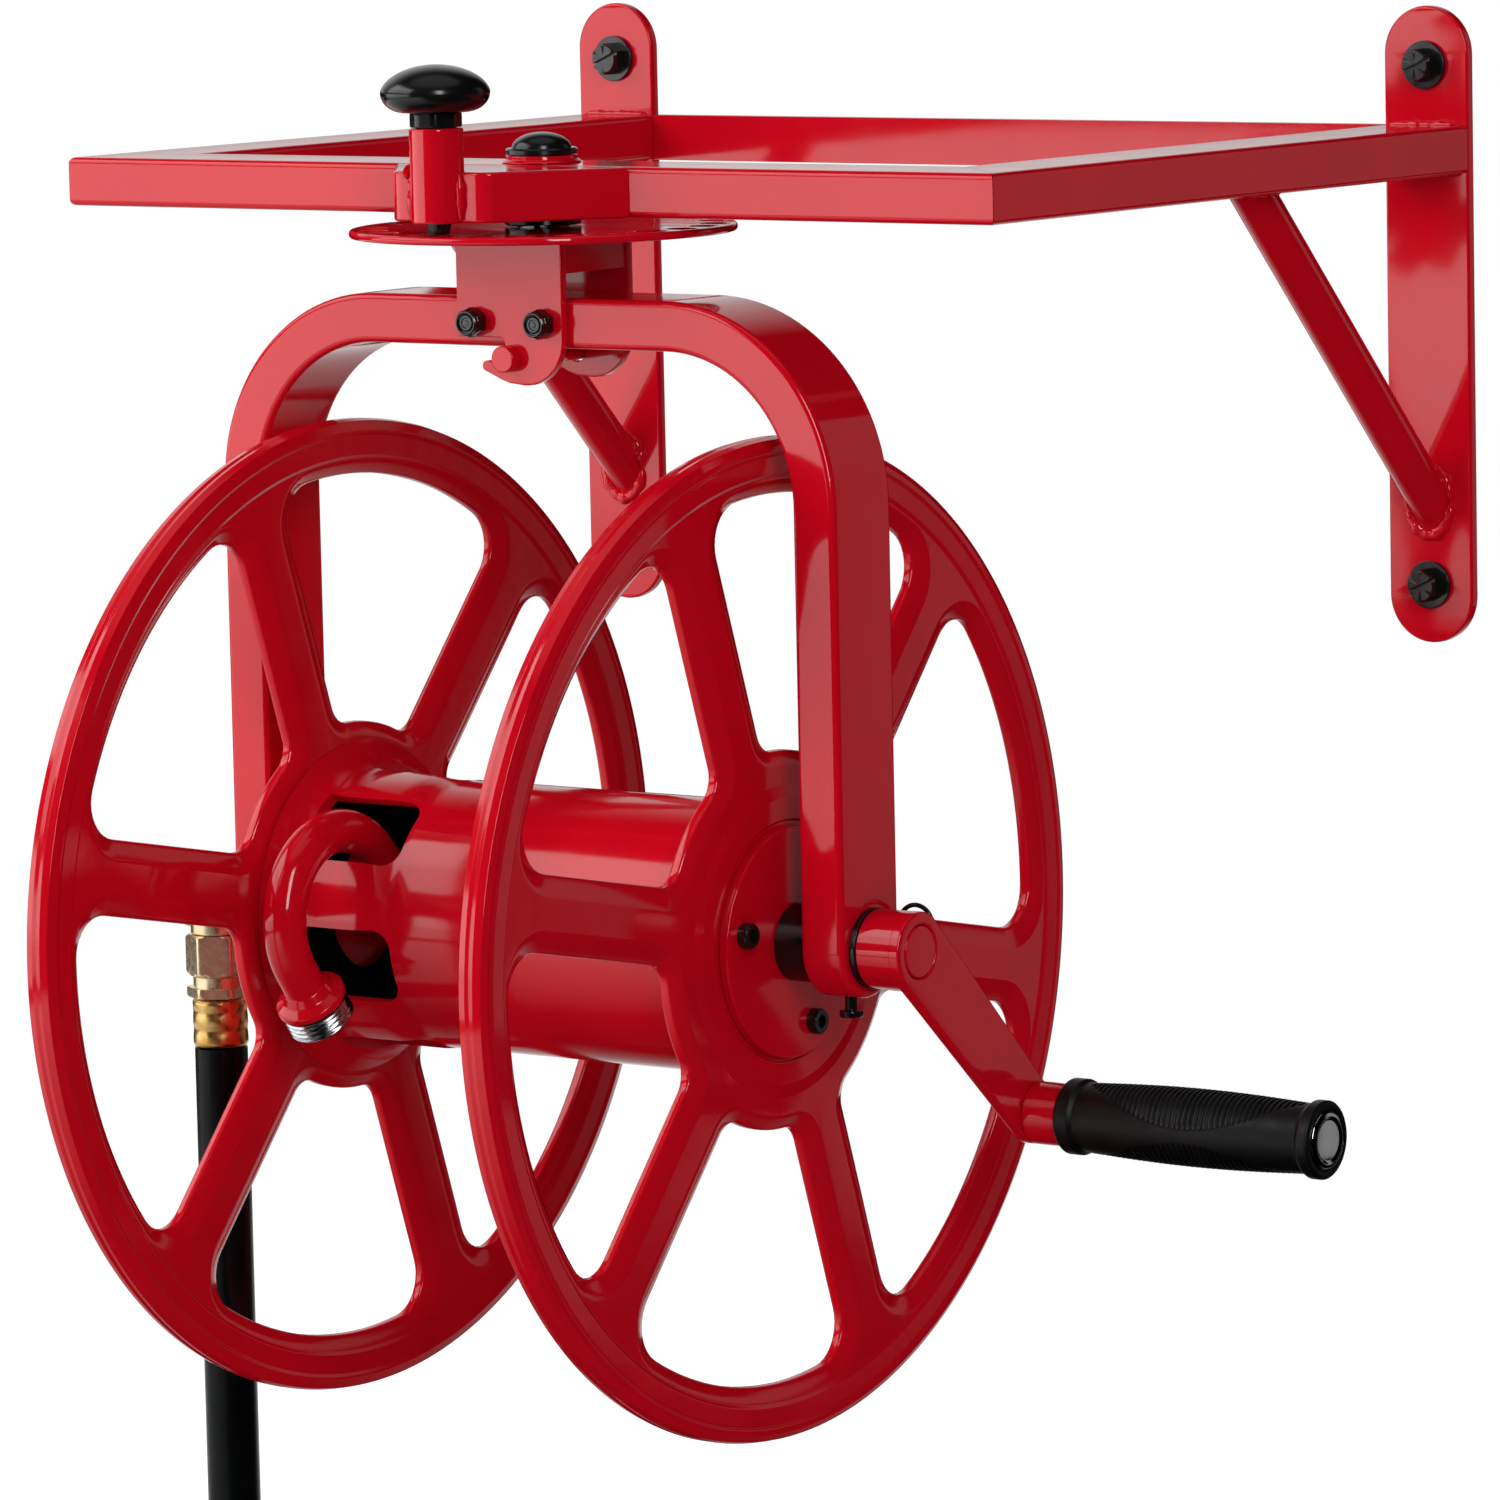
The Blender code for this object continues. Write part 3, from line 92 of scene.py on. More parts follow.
# The wall frame
FRAME_WIDTH = 438.0
FRAME_DEPTH = 342.0
TUBE_WIDE = 38.1
TUBE_HIGH = 19.05
TUBE_CORNER = 2.5
PLATE_THICK = 5.0
PLATE_TOP = 56.7
PLATE_LENGTH = 254.0
BOLT_FROM_END = 23.4
LAG_ACROSS = 11.6
LAG_WASHER = 1.6
BRACE_RADIUS = 8.6
BRACE_REACH = 130.0
GAP = 0.3
HALF_WIDE = TUBE_WIDE / 2
HALF_HIGH = TUBE_HIGH / 2
ARM_X = (FRAME_WIDTH - TUBE_WIDE) / 2
PLATE_FACE = -PLATE_THICK - GAP
BOLT_HEIGHTS = {"upper": PLATE_TOP - BOLT_FROM_END, "lower": PLATE_TOP - PLATE_LENGTH + BOLT_FROM_END}
SIDES = ((-1, "left"), (1, "right"))

# The swivel, the disc and the latch
SWIVEL_Y = -322.95
SWIVEL = (0, SWIVEL_Y, 0)
DISC_TOP = -14.2
DISC_THICK = 3.6
DISC_RADIUS = 74.0
INDEX_RADIUS = 65.0
INDEX_HOLES = 24
LATCH = (0, SWIVEL_Y - INDEX_RADIUS, 0)
KNOB_RADIUS = 20.6
KNOB_WIDEST = 39.2
KNOB_CROWN = 10.4
KNOB_NECK = 11.8
YOKE_Z = -50.0
YOKE_HALF = 145.4
YOKE_BEND = 76.2
CLEVIS_FACE = HALF_WIDE + GAP
CLEVIS_THICK = 3.5
CLEVIS_TOP = DISC_TOP - DISC_THICK - GAP
CLEVIS_BOLT_X = 16.0
HOOK_PIN_Z = -63.5
NUT_ACROSS = 10.0

# The reel
AXLE_Z = -282.1
AXLE = (0.0, SWIVEL_Y, AXLE_Z)
AXLE_RADIUS = 9.9
AXLE_BORE = AXLE_RADIUS + GAP
WHEEL_X = 101.6
WHEEL_RADIUS = 190.5
WHEEL_HALF = 5.0
SPOKE_ANGLE = 11.2
DRUM_RADIUS = 52.0
DRUM_WINDOW_ANGLE = SPOKE_ANGLE + 32.5
HUB_RADIUS = 44.0
HUB_THICK = 4.0
HUB_SCREW_CIRCLE = 33.5
WASHER_END = YOKE_HALF + 3.0
CRANK_ANGLE = math.radians(-43.3)
CRANK_LENGTH = 105.0
CRANK_END = 168.0
CRANK_BOSS = 15.1
CRANK_TIP = 12.0
HAND = (0.0, SWIVEL_Y + CRANK_LENGTH * math.cos(CRANK_ANGLE), AXLE_Z + CRANK_LENGTH * math.sin(CRANK_ANGLE))
GRIP_START = 184.3
GRIP_END = 297.2
GRIP_LENGTH = GRIP_END - GRIP_START
RIBS_FROM = 9.0
RIBS_LENGTH = GRIP_LENGTH - 16.0
RIB_PITCH = 2.35
RIB_DEPTH = 1.05
GOOSE_CENTRE = (-67.0, SWIVEL_Y - 53.0, AXLE_Z + 5.5)
GOOSE_LOOP = 32.0
GOOSE_RADIUS = 8.3
THREAD_PITCH = 2.21
THREAD_START = 5.8
THREAD_END = 14.5

# The inlet and the lead-in hose
INLET_X = -170.0
HOSE_RADIUS = 10.5
HOSE_TOP = AXLE_Z - 61.7
COIL_RADIUS = 115.5
COIL_TURNS = 1.5
COIL_PITCH = 23.4
COIL_STEPS = 24
COIL_Z = -655.0
END_STEP = 8.0


# Materials


def colour(hex_code):
    """The linear colour of an sRGB hex code."""
    channels = [int(hex_code[i:i + 2], 16) / 255 for i in (1, 3, 5)]
    return [c / 12.92 if c < 0.04045 else ((c + 0.055) / 1.055) ** 2.4 for c in channels] + [1.0]


def add(tree, kind, inputs=(), output=0, **settings):
    """Add a shader node with its settings and links and give back one of its outputs.

    An input is a value or another node's output, and output is a name or a number.
    """
    node = tree.nodes.new("ShaderNode" + kind)
    for name, value in settings.items():
        setattr(node, name, value)
    for name, value in dict(inputs).items():
        if isinstance(value, bpy.types.NodeSocket):
            tree.links.new(value, node.inputs[name])
        else:
            node.inputs[name].default_value = value
    return node.outputs[output]


def faded(tree, full, *edges):
    """A value that fades to nothing across soft edges: full times a ramp from 0 to 1 for each edge.

    An edge is (what is measured, where the value has gone, where it is full).
    """
    for measured, gone, whole in edges:
        ramp = add(tree, "MapRange", {"Value": measured, "From Min": gone, "From Max": whole})
        full = add(tree, "Math", {0: ramp, 1: full}, operation="MULTIPLY")
    return full


def patches(tree, size, detail, low, high):
    """Uneven patches about size millimetres wide, from low to high.

    It is noise in object space, stretched from its usual 0.3 to 0.7.
    """
    place = add(tree, "TexCoord", output="Object")
    noise = add(tree, "TexNoise", {"Vector": place, "Scale": 1 / (size * MM), "Detail": detail})
    return add(tree, "MapRange", {"Value": noise, "From Min": 0.3, "From Max": 0.7, "To Min": low,
                                  "To Max": high})


def material(name, shades, patch, rough, relief, extras=()):
    """A surface with two close shades in patches, uneven gloss and layers of fine relief.

    shades are two hex colours, patch the patches' size in mm, rough the lowest and highest
    roughness, relief rows of (size in mm, height in mm) and extras go straight on the shader.
    """
    made = bpy.data.materials.new(name)
    made.use_nodes = True
    tree = made.node_tree
    shader = tree.nodes["Principled BSDF"]
    for socket, value in dict(extras).items():
        shader.inputs[socket].default_value = value
    base = add(tree, "Mix", {0: patches(tree, patch, 3.0, 0.0, 1.0), 6: colour(shades[0]),
                             7: colour(shades[1])}, 2, data_type="RGBA")
    tree.links.new(base, shader.inputs["Base Color"])
    tree.links.new(patches(tree, 0.45 * patch, 4.0, *rough), shader.inputs["Roughness"])
    place = add(tree, "TexCoord", output="Object")
    for size, height in relief:
        grain = add(tree, "TexNoise", {"Vector": place, "Scale": 1 / (size * MM), "Detail": 2.0})
        inputs = {"Height": grain, "Distance": height * MM, "Strength": 1.0}
        if shader.inputs["Normal"].is_linked:
            inputs["Normal"] = shader.inputs["Normal"].links[0].from_socket
        tree.links.new(add(tree, "Bump", inputs), shader.inputs["Normal"])
    return made


def painted_shade_inside(made, radius, dark="#080606"):
    """Paint shade into a look nearer the axle than radius, in millimetres.

    There a dark base colour and no specular are painted shade inside the drum. The distance
    from the axle is the length of the part of the place that is square to X.
    """
    tree = made.node_tree
    shader = tree.nodes["Principled BSDF"]
    place = add(tree, "TexCoord", output="Object")
    from_axle = add(tree, "VectorMath", {0: place, 1: [c * MM for c in AXLE]}, operation="SUBTRACT")
    across = add(tree, "VectorMath", {0: from_axle, 1: (0, 1, 1)}, operation="MULTIPLY")
    distance = add(tree, "VectorMath", {0: across}, "Value", operation="LENGTH")
    # The painted shade: a ramp 0.6 mm wide at the radius that darkens the base colour and takes away the
    # specular nearer the axle
    edge = (distance, (radius - 0.6) * MM, radius * MM)
    tree.links.new(faded(tree, 0.5, edge), shader.inputs["Specular IOR Level"])
    painted = shader.inputs["Base Color"].links[0].from_socket
    base = add(tree, "Mix", {0: faded(tree, 1.0, edge), 6: colour(dark), 7: painted}, 2, data_type="RGBA")
    tree.links.new(base, shader.inputs["Base Color"])


# Sprayed and baked powder on cast iron: the same red a little less glossy, over the casting's
# soft waves, so that its reflections wobble
CAST_COAT = (("#CA061C", "#C2051A"), 45.0, (0.08, 0.13), [(2.8, 0.007), (18.0, 0.06)])
LOOKS = {
    # Powder baked on smooth tube: mirror-like red whose reflections are only just uneven
    "red_paint": material("gloss red powder coat", ("#CC071D", "#C6061B"), 60.0, (0.06, 0.10),
                          [(2.4, 0.004), (14.0, 0.02)]),
    "cast_paint": material("red powder coat on castings", *CAST_COAT),
    # The drum's coat, which gets painted shade inside the drum below
    "drum_paint_shaded_inside": material("red powder coat on the drum", *CAST_COAT),
    # Injection-moulded nylon: near black, with one soft highlight
    "black_plastic": material("black moulded plastic", ("#0B0B0C", "#111112"), 30.0, (0.16, 0.26),
                              [(1.0, 0.004), (12.0, 0.02)]),
    # Oxide-blacked and oiled steel: darker than plastic, with small sharp glints on its edges
    "black_steel": material("black oxide steel", ("#0D0D0E", "#151516"), 6.0, (0.12, 0.22),
                            [(0.6, 0.004), (3.0, 0.012)], {"Specular IOR Level": 0.6}),
    # Turned and zinc-plated steel: a bright grey that mirrors the room in streaks
    "bright_steel": material("bright steel", ("#B9BBBD", "#A4A6A9"), 5.0, (0.14, 0.28),
                             [(0.5, 0.004), (4.0, 0.01)], {"Metallic": 1.0}),
    # Chrome on a polished cap: a clear mirror with dark and white patches
    "chrome": material("chrome plate", ("#D6D7D6", "#C8C9C7"), 9.0, (0.04, 0.09),
                       [(3.0, 0.003), (9.0, 0.006)], {"Metallic": 1.0}),
    # Machined brass, a little oxidised: pale yellow facets that blur what they mirror
    "brass": material("machined brass", ("#FBE9C8", "#EFD3A6"), 7.0, (0.22, 0.30),
                      [(2.0, 0.002), (8.0, 0.01)], {"Metallic": 0.9}),
    # Drawn and crimped brass: the same metal in a deeper gold, dented by the tool
    "gold_brass": material("crimped brass sleeve", ("#EBCB86", "#D29E55"), 8.0, (0.24, 0.34),
                           [(1.5, 0.004), (5.0, 0.02)], {"Metallic": 1.0}),
    # Moulded soft rubber: matt black. Its grain of 0.35 mm is coarser than the real one, to show
    "grip_rubber": material("black grip rubber", ("#080808", "#0E0E0E"), 10.0, (0.36, 0.50),
                            [(0.35, 0.008), (5.0, 0.02)], {"Specular IOR Level": 0.3}),
    # Extruded rubber hose: bluish black with one long faint sheen
    "hose_rubber": material("hose rubber", ("#040607", "#080B0C"), 14.0, (0.22, 0.30),
                            [(0.8, 0.006), (7.0, 0.05)], {"Specular IOR Level": 0.16}),
    # Woven nylon strap: no gloss, a coarse weave
    "strap": material("woven strap", ("#101011", "#1B1B1C"), 3.0, (0.55, 0.75),
                      [(0.7, 0.08), (3.0, 0.05)], {"Specular IOR Level": 0.3}),
}
# Painted shade inside the drum: the coat turns dark and loses its specular within the drum's radius
painted_shade_inside(LOOKS["drum_paint_shaded_inside"], DRUM_RADIUS - 0.8)


# Mesh helpers


def grid_faces(rows, columns, close_rows=False):
    """Quads between the points of a grid stored row by row, whose rows are closed loops."""
    i = np.arange(rows if close_rows else rows - 1)[:, None]
    j = np.arange(columns)[None, :]
    down, along = (i + 1) % rows, (j + 1) % columns
    corners = (i * columns + j, i * columns + along, down * columns + along, down * columns + j)
    return np.stack([c + 0 * i + 0 * j for c in corners], axis=-1).reshape(-1, 4).tolist()


def placed(name, data):
    """A new object in the scene for a mesh, a curve, a camera or a light."""
    item = bpy.data.objects.new(name, data)
    bpy.context.scene.collection.objects.link(item)
    return item


def applied(item):
    """The mesh of an object with its modifiers or its curve's settings applied."""
    bpy.context.view_layer.update()
    graph = bpy.context.evaluated_depsgraph_get()
    return bpy.data.meshes.new_from_object(item.evaluated_get(graph), depsgraph=graph)


def cleaned(name, mesh):
    """An object whose mesh has its doubled points welded and its normals outward."""
    work = bmesh.new()
    work.from_mesh(mesh)
    bmesh.ops.remove_doubles(work, verts=work.verts, dist=0.000002)
    bmesh.ops.dissolve_degenerate(work, edges=work.edges, dist=0.000001)
    bmesh.ops.recalc_face_normals(work, faces=work.faces)
    work.to_mesh(mesh)
    work.free()
    return placed(name, mesh)


def solid(name, points, faces):
    """An object from points in millimetres."""
    mesh = bpy.data.meshes.new(name)
    mesh.from_pydata((np.asarray(points, dtype=float) * MM).tolist(), [], faces)
    return cleaned(name, mesh)


BASIS = {"X": ((0, 1, 0), (0, 0, 1), (1, 0, 0)), "Y": ((1, 0, 0), (0, 0, 1), (0, 1, 0)),
         "Z": ((1, 0, 0), (0, 1, 0), (0, 0, 1))}


def turned(name, profile, axis, centre, steps=96, shape=None):
    """A turned shape: each point of the profile is a ring of (radius, height) about the axis.

    shape(angle, radius, height) may change the radius, for flats, ribs and threads.
    """
    profile = np.asarray(profile, dtype=float)
    across, up, along = (np.array(v, dtype=float) for v in BASIS[axis])
    angle = np.linspace(0, 2 * np.pi, steps, endpoint=False)
    radius = np.repeat(profile[:, :1], steps, axis=1)
    height = np.repeat(profile[:, 1:], steps, axis=1)
    if shape is not None:
        radius = shape(angle[None, :], radius, height)
    points = (np.array(centre)[None, None, :] + (radius * np.cos(angle))[..., None] * across
              + (radius * np.sin(angle))[..., None] * up + height[..., None] * along)
    ring = profile[0, 0] > 0 and profile[-1, 0] > 0
    return solid(name, points.reshape(-1, 3), grid_faces(len(profile), steps, close_rows=ring))


def flats(count, across, over=None, turn=None):
    """A shape for turned: rings wider than over are cut to a polygon's flats, across apart.

    A flat's radius is half of across over the cosine of the angle from the flat's middle.
    """
    step = 2 * np.pi / count
    turn = step / 2 if turn is None else turn
    over = 0.375 * across if over is None else over

    def shape(angle, radius, height):
        """The smaller of the ring's own radius and the flat's."""
        flat = across / 2 / np.cos((angle + turn) % step - step / 2)
        return np.where(radius > over, np.minimum(radius, flat), radius)

    return shape


def arc(centre, radius, first, last, count):
    """Points on an arc, its angles in degrees."""
    angle = np.radians(np.linspace(first, last, count + 1))
    return [(centre[0] + radius * math.cos(a), centre[1] + radius * math.sin(a)) for a in angle]


def circle(centre, radius, count):
    """Points round a circle, the first not repeated."""
    return arc(centre, radius, 0, 360 - 360 / count, count - 1)


def soft(points, radius, count=4, closed=False):
    """A line of 2D points with its corners rounded to a radius, or less where they are close.

    Each rounding is a quadratic curve that leaves and meets the straight parts along them.
    """
    points = [np.array(p, dtype=float) for p in points]
    made = []
    last = len(points) - 1
    for i, corner in enumerate(points):
        if not closed and i in (0, last):
            made.append(tuple(corner))
            continue
        before, after = points[i - 1] - corner, points[(i + 1) % len(points)] - corner
        short = min(np.linalg.norm(before), np.linalg.norm(after))
        before, after = before / np.linalg.norm(before), after / np.linalg.norm(after)
        half = math.acos(max(-1.0, min(1.0, float(before @ after)))) / 2
        reach = min(radius / math.tan(half), 0.45 * short) if half < 1.55 else 0.0
        if reach < 1e-6:
            made.append(tuple(corner))
            continue
        for t in np.linspace(0, 1, count + 1):
            start, end = corner + before * reach, corner + after * reach
            made.append(tuple((1 - t) ** 2 * start + 2 * t * (1 - t) * corner + t * t * end))
    return made


def ring(inner, outer, first, last, edge, count=3):
    """The profile of a flat ring between two heights, with rounded edges."""
    return soft([(inner, first), (outer, first), (outer, last), (inner, last)], edge, count, True)


def rod(radius, first, last):
    """The profile of a plain round bar between two heights."""
    return [(0, first), (radius, first), (radius, last), (0, last)]


def swept(name, path, radii, sides=32, frame_up=(0, 0, 1), caps=True):
    """A round tube whose rings lie square to a path, turned as little as possible between rings."""
    path = np.asarray(path, dtype=float)
    radii = np.broadcast_to(np.asarray(radii, dtype=float), (len(path),))
    tangent = np.gradient(path, axis=0)
    tangent /= np.linalg.norm(tangent, axis=1)[:, None]
    side = np.cross(tangent[0], np.array(frame_up, dtype=float))
    if np.linalg.norm(side) < 0.1:
        side = np.cross(tangent[0], (1.0, 0.0, 0.0))
    angle = np.linspace(0, 2 * np.pi, sides, endpoint=False)
    rings = []
    for centre, direction, radius in zip(path, tangent, radii):
        side = side - direction * (side @ direction)
        side /= np.linalg.norm(side)
        up = np.cross(direction, side)
        rings.append(centre + radius * (np.cos(angle)[:, None] * side + np.sin(angle)[:, None] * up))
    points = np.concatenate(rings)
    faces = grid_faces(len(path), sides)
    if caps:
        faces += [list(range(sides)), list(range(len(points) - sides, len(points)))]
    return solid(name, points, faces)


def lofted(name, loops):
    """A bar through closed loops of as many points each, capped at both ends."""
    count, total = len(loops[0]), len(loops[0]) * len(loops)
    faces = grid_faces(len(loops), count) + [list(range(count)), list(range(total - count, total))]
    return solid(name, np.concatenate(loops), faces)


def plate(name, loops, thick, axis, centre, edge=0.6):
    """A flat plate from 2D loops, the first its outline and the rest holes, with rounded edges.

    A filled curve is drawn in by the edge's radius, thickened and bevelled back out by it.
    """
    curve = bpy.data.curves.new(name, "CURVE")
    curve.dimensions = "2D"
    curve.fill_mode = "BOTH"
    curve.extrude = (thick / 2 - edge) * MM
    curve.bevel_depth = edge * MM
    curve.bevel_resolution = 2
    curve.offset = -edge * MM
    for number, loop in enumerate(loops):
        area = sum(a[0] * b[1] - b[0] * a[1] for a, b in zip(loop, list(loop[1:]) + [loop[0]]))
        if (area > 0) == (number > 0):
            loop = loop[::-1]
        spline = curve.splines.new("POLY")
        spline.points.add(len(loop) - 1)
        flat = np.column_stack([np.array(loop) * MM, np.zeros(len(loop)), np.ones(len(loop))])
        spline.points.foreach_set("co", flat.astype(np.float32).ravel())
        spline.use_cyclic_u = True
    helper = placed(name + " outline", curve)
    mesh = applied(helper)
    bpy.data.objects.remove(helper, do_unlink=True)
    turn = Matrix(BASIS[axis]).transposed().to_4x4()
    mesh.transform(Matrix.Translation(Vector(centre) * MM) @ turn)
    mesh.name = name
    return cleaned(name, mesh)


def box(name, low, high):
    """A box between two corners."""
    corners = [(x, y, z) for x in (low[0], high[0]) for y in (low[1], high[1]) for z in (low[2], high[2])]
    faces = [(0, 1, 3, 2), (4, 6, 7, 5), (0, 4, 5, 1), (2, 3, 7, 6), (0, 2, 6, 4), (1, 5, 7, 3)]
    return solid(name, corners, faces)


def join(item, *others):
    """Put other objects' meshes into item's."""
    work = bmesh.new()
    for each in (item, *others):
        work.from_mesh(each.data)
    work.to_mesh(item.data)
    work.free()
    for each in others:
        bpy.data.objects.remove(each, do_unlink=True)
    return item


def cut(item, tool):
    """Cut a tool's shape out of item and throw the tool away."""
    step = item.modifiers.new("cut", "BOOLEAN")
    step.object = tool
    step.operation = "DIFFERENCE"
    step.solver = "EXACT"
    mesh = applied(item)
    item.modifiers.clear()
    item.data = mesh
    bpy.data.objects.remove(tool, do_unlink=True)
    return item


def mirrored(item, name):
    """A copy of an object on the other side of the plane x = 0."""
    mesh = item.data.copy()
    mesh.transform(Matrix.Diagonal((-1, 1, 1, 1)))
    mesh.flip_normals()
    return placed(name, mesh)


def dress(item, look, body, *nodes, sharp=38.0):
    """Give a piece its material, smooth shading and body, and hide the solids it stands for."""
    item.data.materials.clear()
    item.data.materials.append(LOOKS[look])
    item.data.shade_smooth()
    item.data.set_sharp_from_angle(angle=math.radians(sharp))
    weigh = item.modifiers.new("even shading", "WEIGHTED_NORMAL")
    weigh.keep_sharp = True
    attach(item, body)
    if nodes:
        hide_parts(*nodes)
    return item


# Camera and lights


def photo_camera():
    """The photograph's camera, turned by its yaw, its pitch down and its roll."""
    data = bpy.data.cameras.new("photo camera")
    data.sensor_width = SENSOR
    data.sensor_fit = "HORIZONTAL"
    data.lens = FOCAL / IMAGE * SENSOR
    data.clip_end = 50.0
    camera = placed("photo camera", data)
    yaw, pitch, roll = CAMERA_YAW, CAMERA_PITCH, CAMERA_ROLL
    forward = Vector((-math.sin(yaw) * math.cos(pitch), math.cos(yaw) * math.cos(pitch), -math.sin(pitch)))
    right = Vector((math.cos(yaw), math.sin(yaw), 0.0))
    up = right.cross(forward)
    across = math.cos(roll) * right + math.sin(roll) * up
    upward = -math.sin(roll) * right + math.cos(roll) * up
    turn = Matrix((across, upward, -forward)).transposed().to_4x4()
    camera.matrix_world = Matrix.Translation(Vector(CAMERA_AT) * MM) @ turn
    bpy.context.scene.camera = camera


def softbox(name, at, aim, size, radiance):
    """A rectangular light of even brightness that faces a point, in metres.

    Its power is its radiance times pi times its area.
    """
    data = bpy.data.lights.new(name, "AREA")
    data.shape = "RECTANGLE"
    data.size, data.size_y = size
    data.energy = radiance * math.pi * size[0] * size[1]
    light = placed(name, data)
    turn = (Vector(aim) - Vector(at)).to_track_quat("-Z", "Y").to_matrix().to_4x4()
    light.matrix_world = Matrix.Translation(Vector(at)) @ turn
    light.visible_camera = False
    return light


def studio():
    """White to the camera, an even dim surround, and white screens for gloss to mirror.

    A wide screen stands behind and to the left from the horizon up to about 40 degrees, a
    narrow dim one to the right of it, and a dim ceiling hangs overhead. Their edges are ramps
    of the sight line's height and of its level direction's cosine to the screen's side. Tall
    soft boxes stand one over the other to the front and left with a dark gap between them, a
    narrow one to the front and right, and a lamp that gloss doesn't show fills the front.
    """
    world = bpy.data.worlds.new("studio")
    bpy.context.scene.world = world
    world.use_nodes = True
    tree = world.node_tree
    tree.nodes.clear()
    sight = add(tree, "TexCoord", output="Generated")
    flat = add(tree, "VectorMath", {0: sight, 1: (1, 1, 0)}, operation="MULTIPLY")
    level = add(tree, "VectorMath", {0: flat}, operation="NORMALIZE")
    height = add(tree, "SeparateXYZ", {0: sight}, "Z")
    to_screen, to_narrow = [add(tree, "VectorMath", {0: level, 1: side}, "Value", operation="DOT_PRODUCT")
                            for side in (SCREEN_SIDE, NARROW_SIDE)]
    backdrop = faded(tree, SCREEN_LIGHT, (to_screen, 0.78, 0.97), (height, 0.02, 0.06), (height, 0.75, 0.5))
    for light in (faded(tree, NARROW_LIGHT, (to_narrow, 0.986, 0.996), (height, 0.50, 0.42)),
                  faded(tree, CEILING_LIGHT, (height, 0.84, 0.92))):
        backdrop = add(tree, "Math", {0: backdrop, 1: light}, operation="ADD")
    camera, gloss, glass = [add(tree, "LightPath", output="Is " + ray + " Ray")
                            for ray in ("Camera", "Glossy", "Transmission")]
    mirror = add(tree, "Math", {0: gloss, 1: glass}, operation="MAXIMUM")
    unseen = add(tree, "Mix", {0: mirror, 2: SURROUND, 3: backdrop})
    strength = add(tree, "Mix", {0: camera, 2: unseen, 3: 1.0})
    white = add(tree, "Background", {"Color": (1, 1, 1, 1), "Strength": strength})
    tree.links.new(white, tree.nodes.new("ShaderNodeOutputWorld").inputs["Surface"])
    x, y = BOX_SIDE[0] * BOX_DISTANCE, SWIVEL_Y * MM + BOX_SIDE[1] * BOX_DISTANCE
    for name, low, high, radiance in SOFT_BOXES:
        middle = (low + high) / 2
        softbox(name, (x, y, middle), (0.0, SWIVEL_Y * MM, middle), (BOX_WIDTH, high - low), radiance)
    softbox("narrow box", (2.2, -2.4, 1.2), (0.0, SWIVEL_Y * MM, -0.1), (0.7, 2.2), 8.4)
    fill = softbox("fill", (-0.9, -1.3, 0.35), (0.0, -0.3, -0.1), (1.2, 1.2), 1.9)
    fill.visible_glossy = False


def floor():
    """A pale round floor below the part, white to the camera outside the part's shadow.

    Gloss sees a painted shadow and painted light on it: black straight below the part,
    brighter by the logarithm of the distance and darker again to the right.
    """
    height = CAD_BOX[0][2] / MM - FLOOR_BELOW
    points = [(x, y, height) for x, y in circle((0, SWIVEL_Y), FLOOR_RADIUS, 96)]
    item = solid("floor", points, [list(range(96))])
    made = bpy.data.materials.new("pale floor")
    made.use_nodes = True
    tree = made.node_tree
    shader = tree.nodes["Principled BSDF"]
    shader.inputs["Roughness"].default_value = 0.9
    shader.inputs["Emission Color"].default_value = (1, 1, 1, 1)
    camera, gloss = [add(tree, "LightPath", output="Is " + ray + " Ray") for ray in ("Camera", "Glossy")]
    tree.links.new(add(tree, "Mix", {0: camera, 2: 0.0, 3: FLOOR_LIGHT}), shader.inputs["Emission Strength"])
    shades = add(tree, "Mix", {0: patches(tree, 400.0, 2.0, 0.0, 1.0), 6: colour("#D6D6D6"),
                               7: colour("#CECECE")}, 2, data_type="RGBA")
    tree.links.new(shades, shader.inputs["Base Color"])
    # Painted shadow and painted light for glossy rays only: dark below the part, brighter outward and fading
    # to the right
    place = add(tree, "TexCoord", output="Object")
    below = (0.0, SWIVEL_Y * MM, height * MM)
    away = add(tree, "VectorMath", {0: place, 1: below}, "Value", operation="DISTANCE")
    ratio = add(tree, "Math", {0: away, 1: GLOW_FROM}, operation="DIVIDE")
    log = add(tree, "Math", {0: ratio, 1: math.e}, operation="LOGARITHM")
    bright = add(tree, "Math", {0: log, 1: GLOW_SLOPE}, operation="MULTIPLY", use_clamp=True)
    rightward = add(tree, "SeparateXYZ", {0: place}, "X")
    painted_floor_light = add(tree, "Emission", {"Strength": faded(tree, bright, (rightward, 0.5, 0.0))})
    mix = add(tree, "MixShader", {0: gloss, 1: shader.outputs[0], 2: painted_floor_light})
    tree.links.new(mix, tree.nodes["Material Output"].inputs["Surface"])
    item.data.materials.append(made)
    if item.data.polygons[0].normal.z < 0:
        item.data.flip_normals()


# The lead-in hose


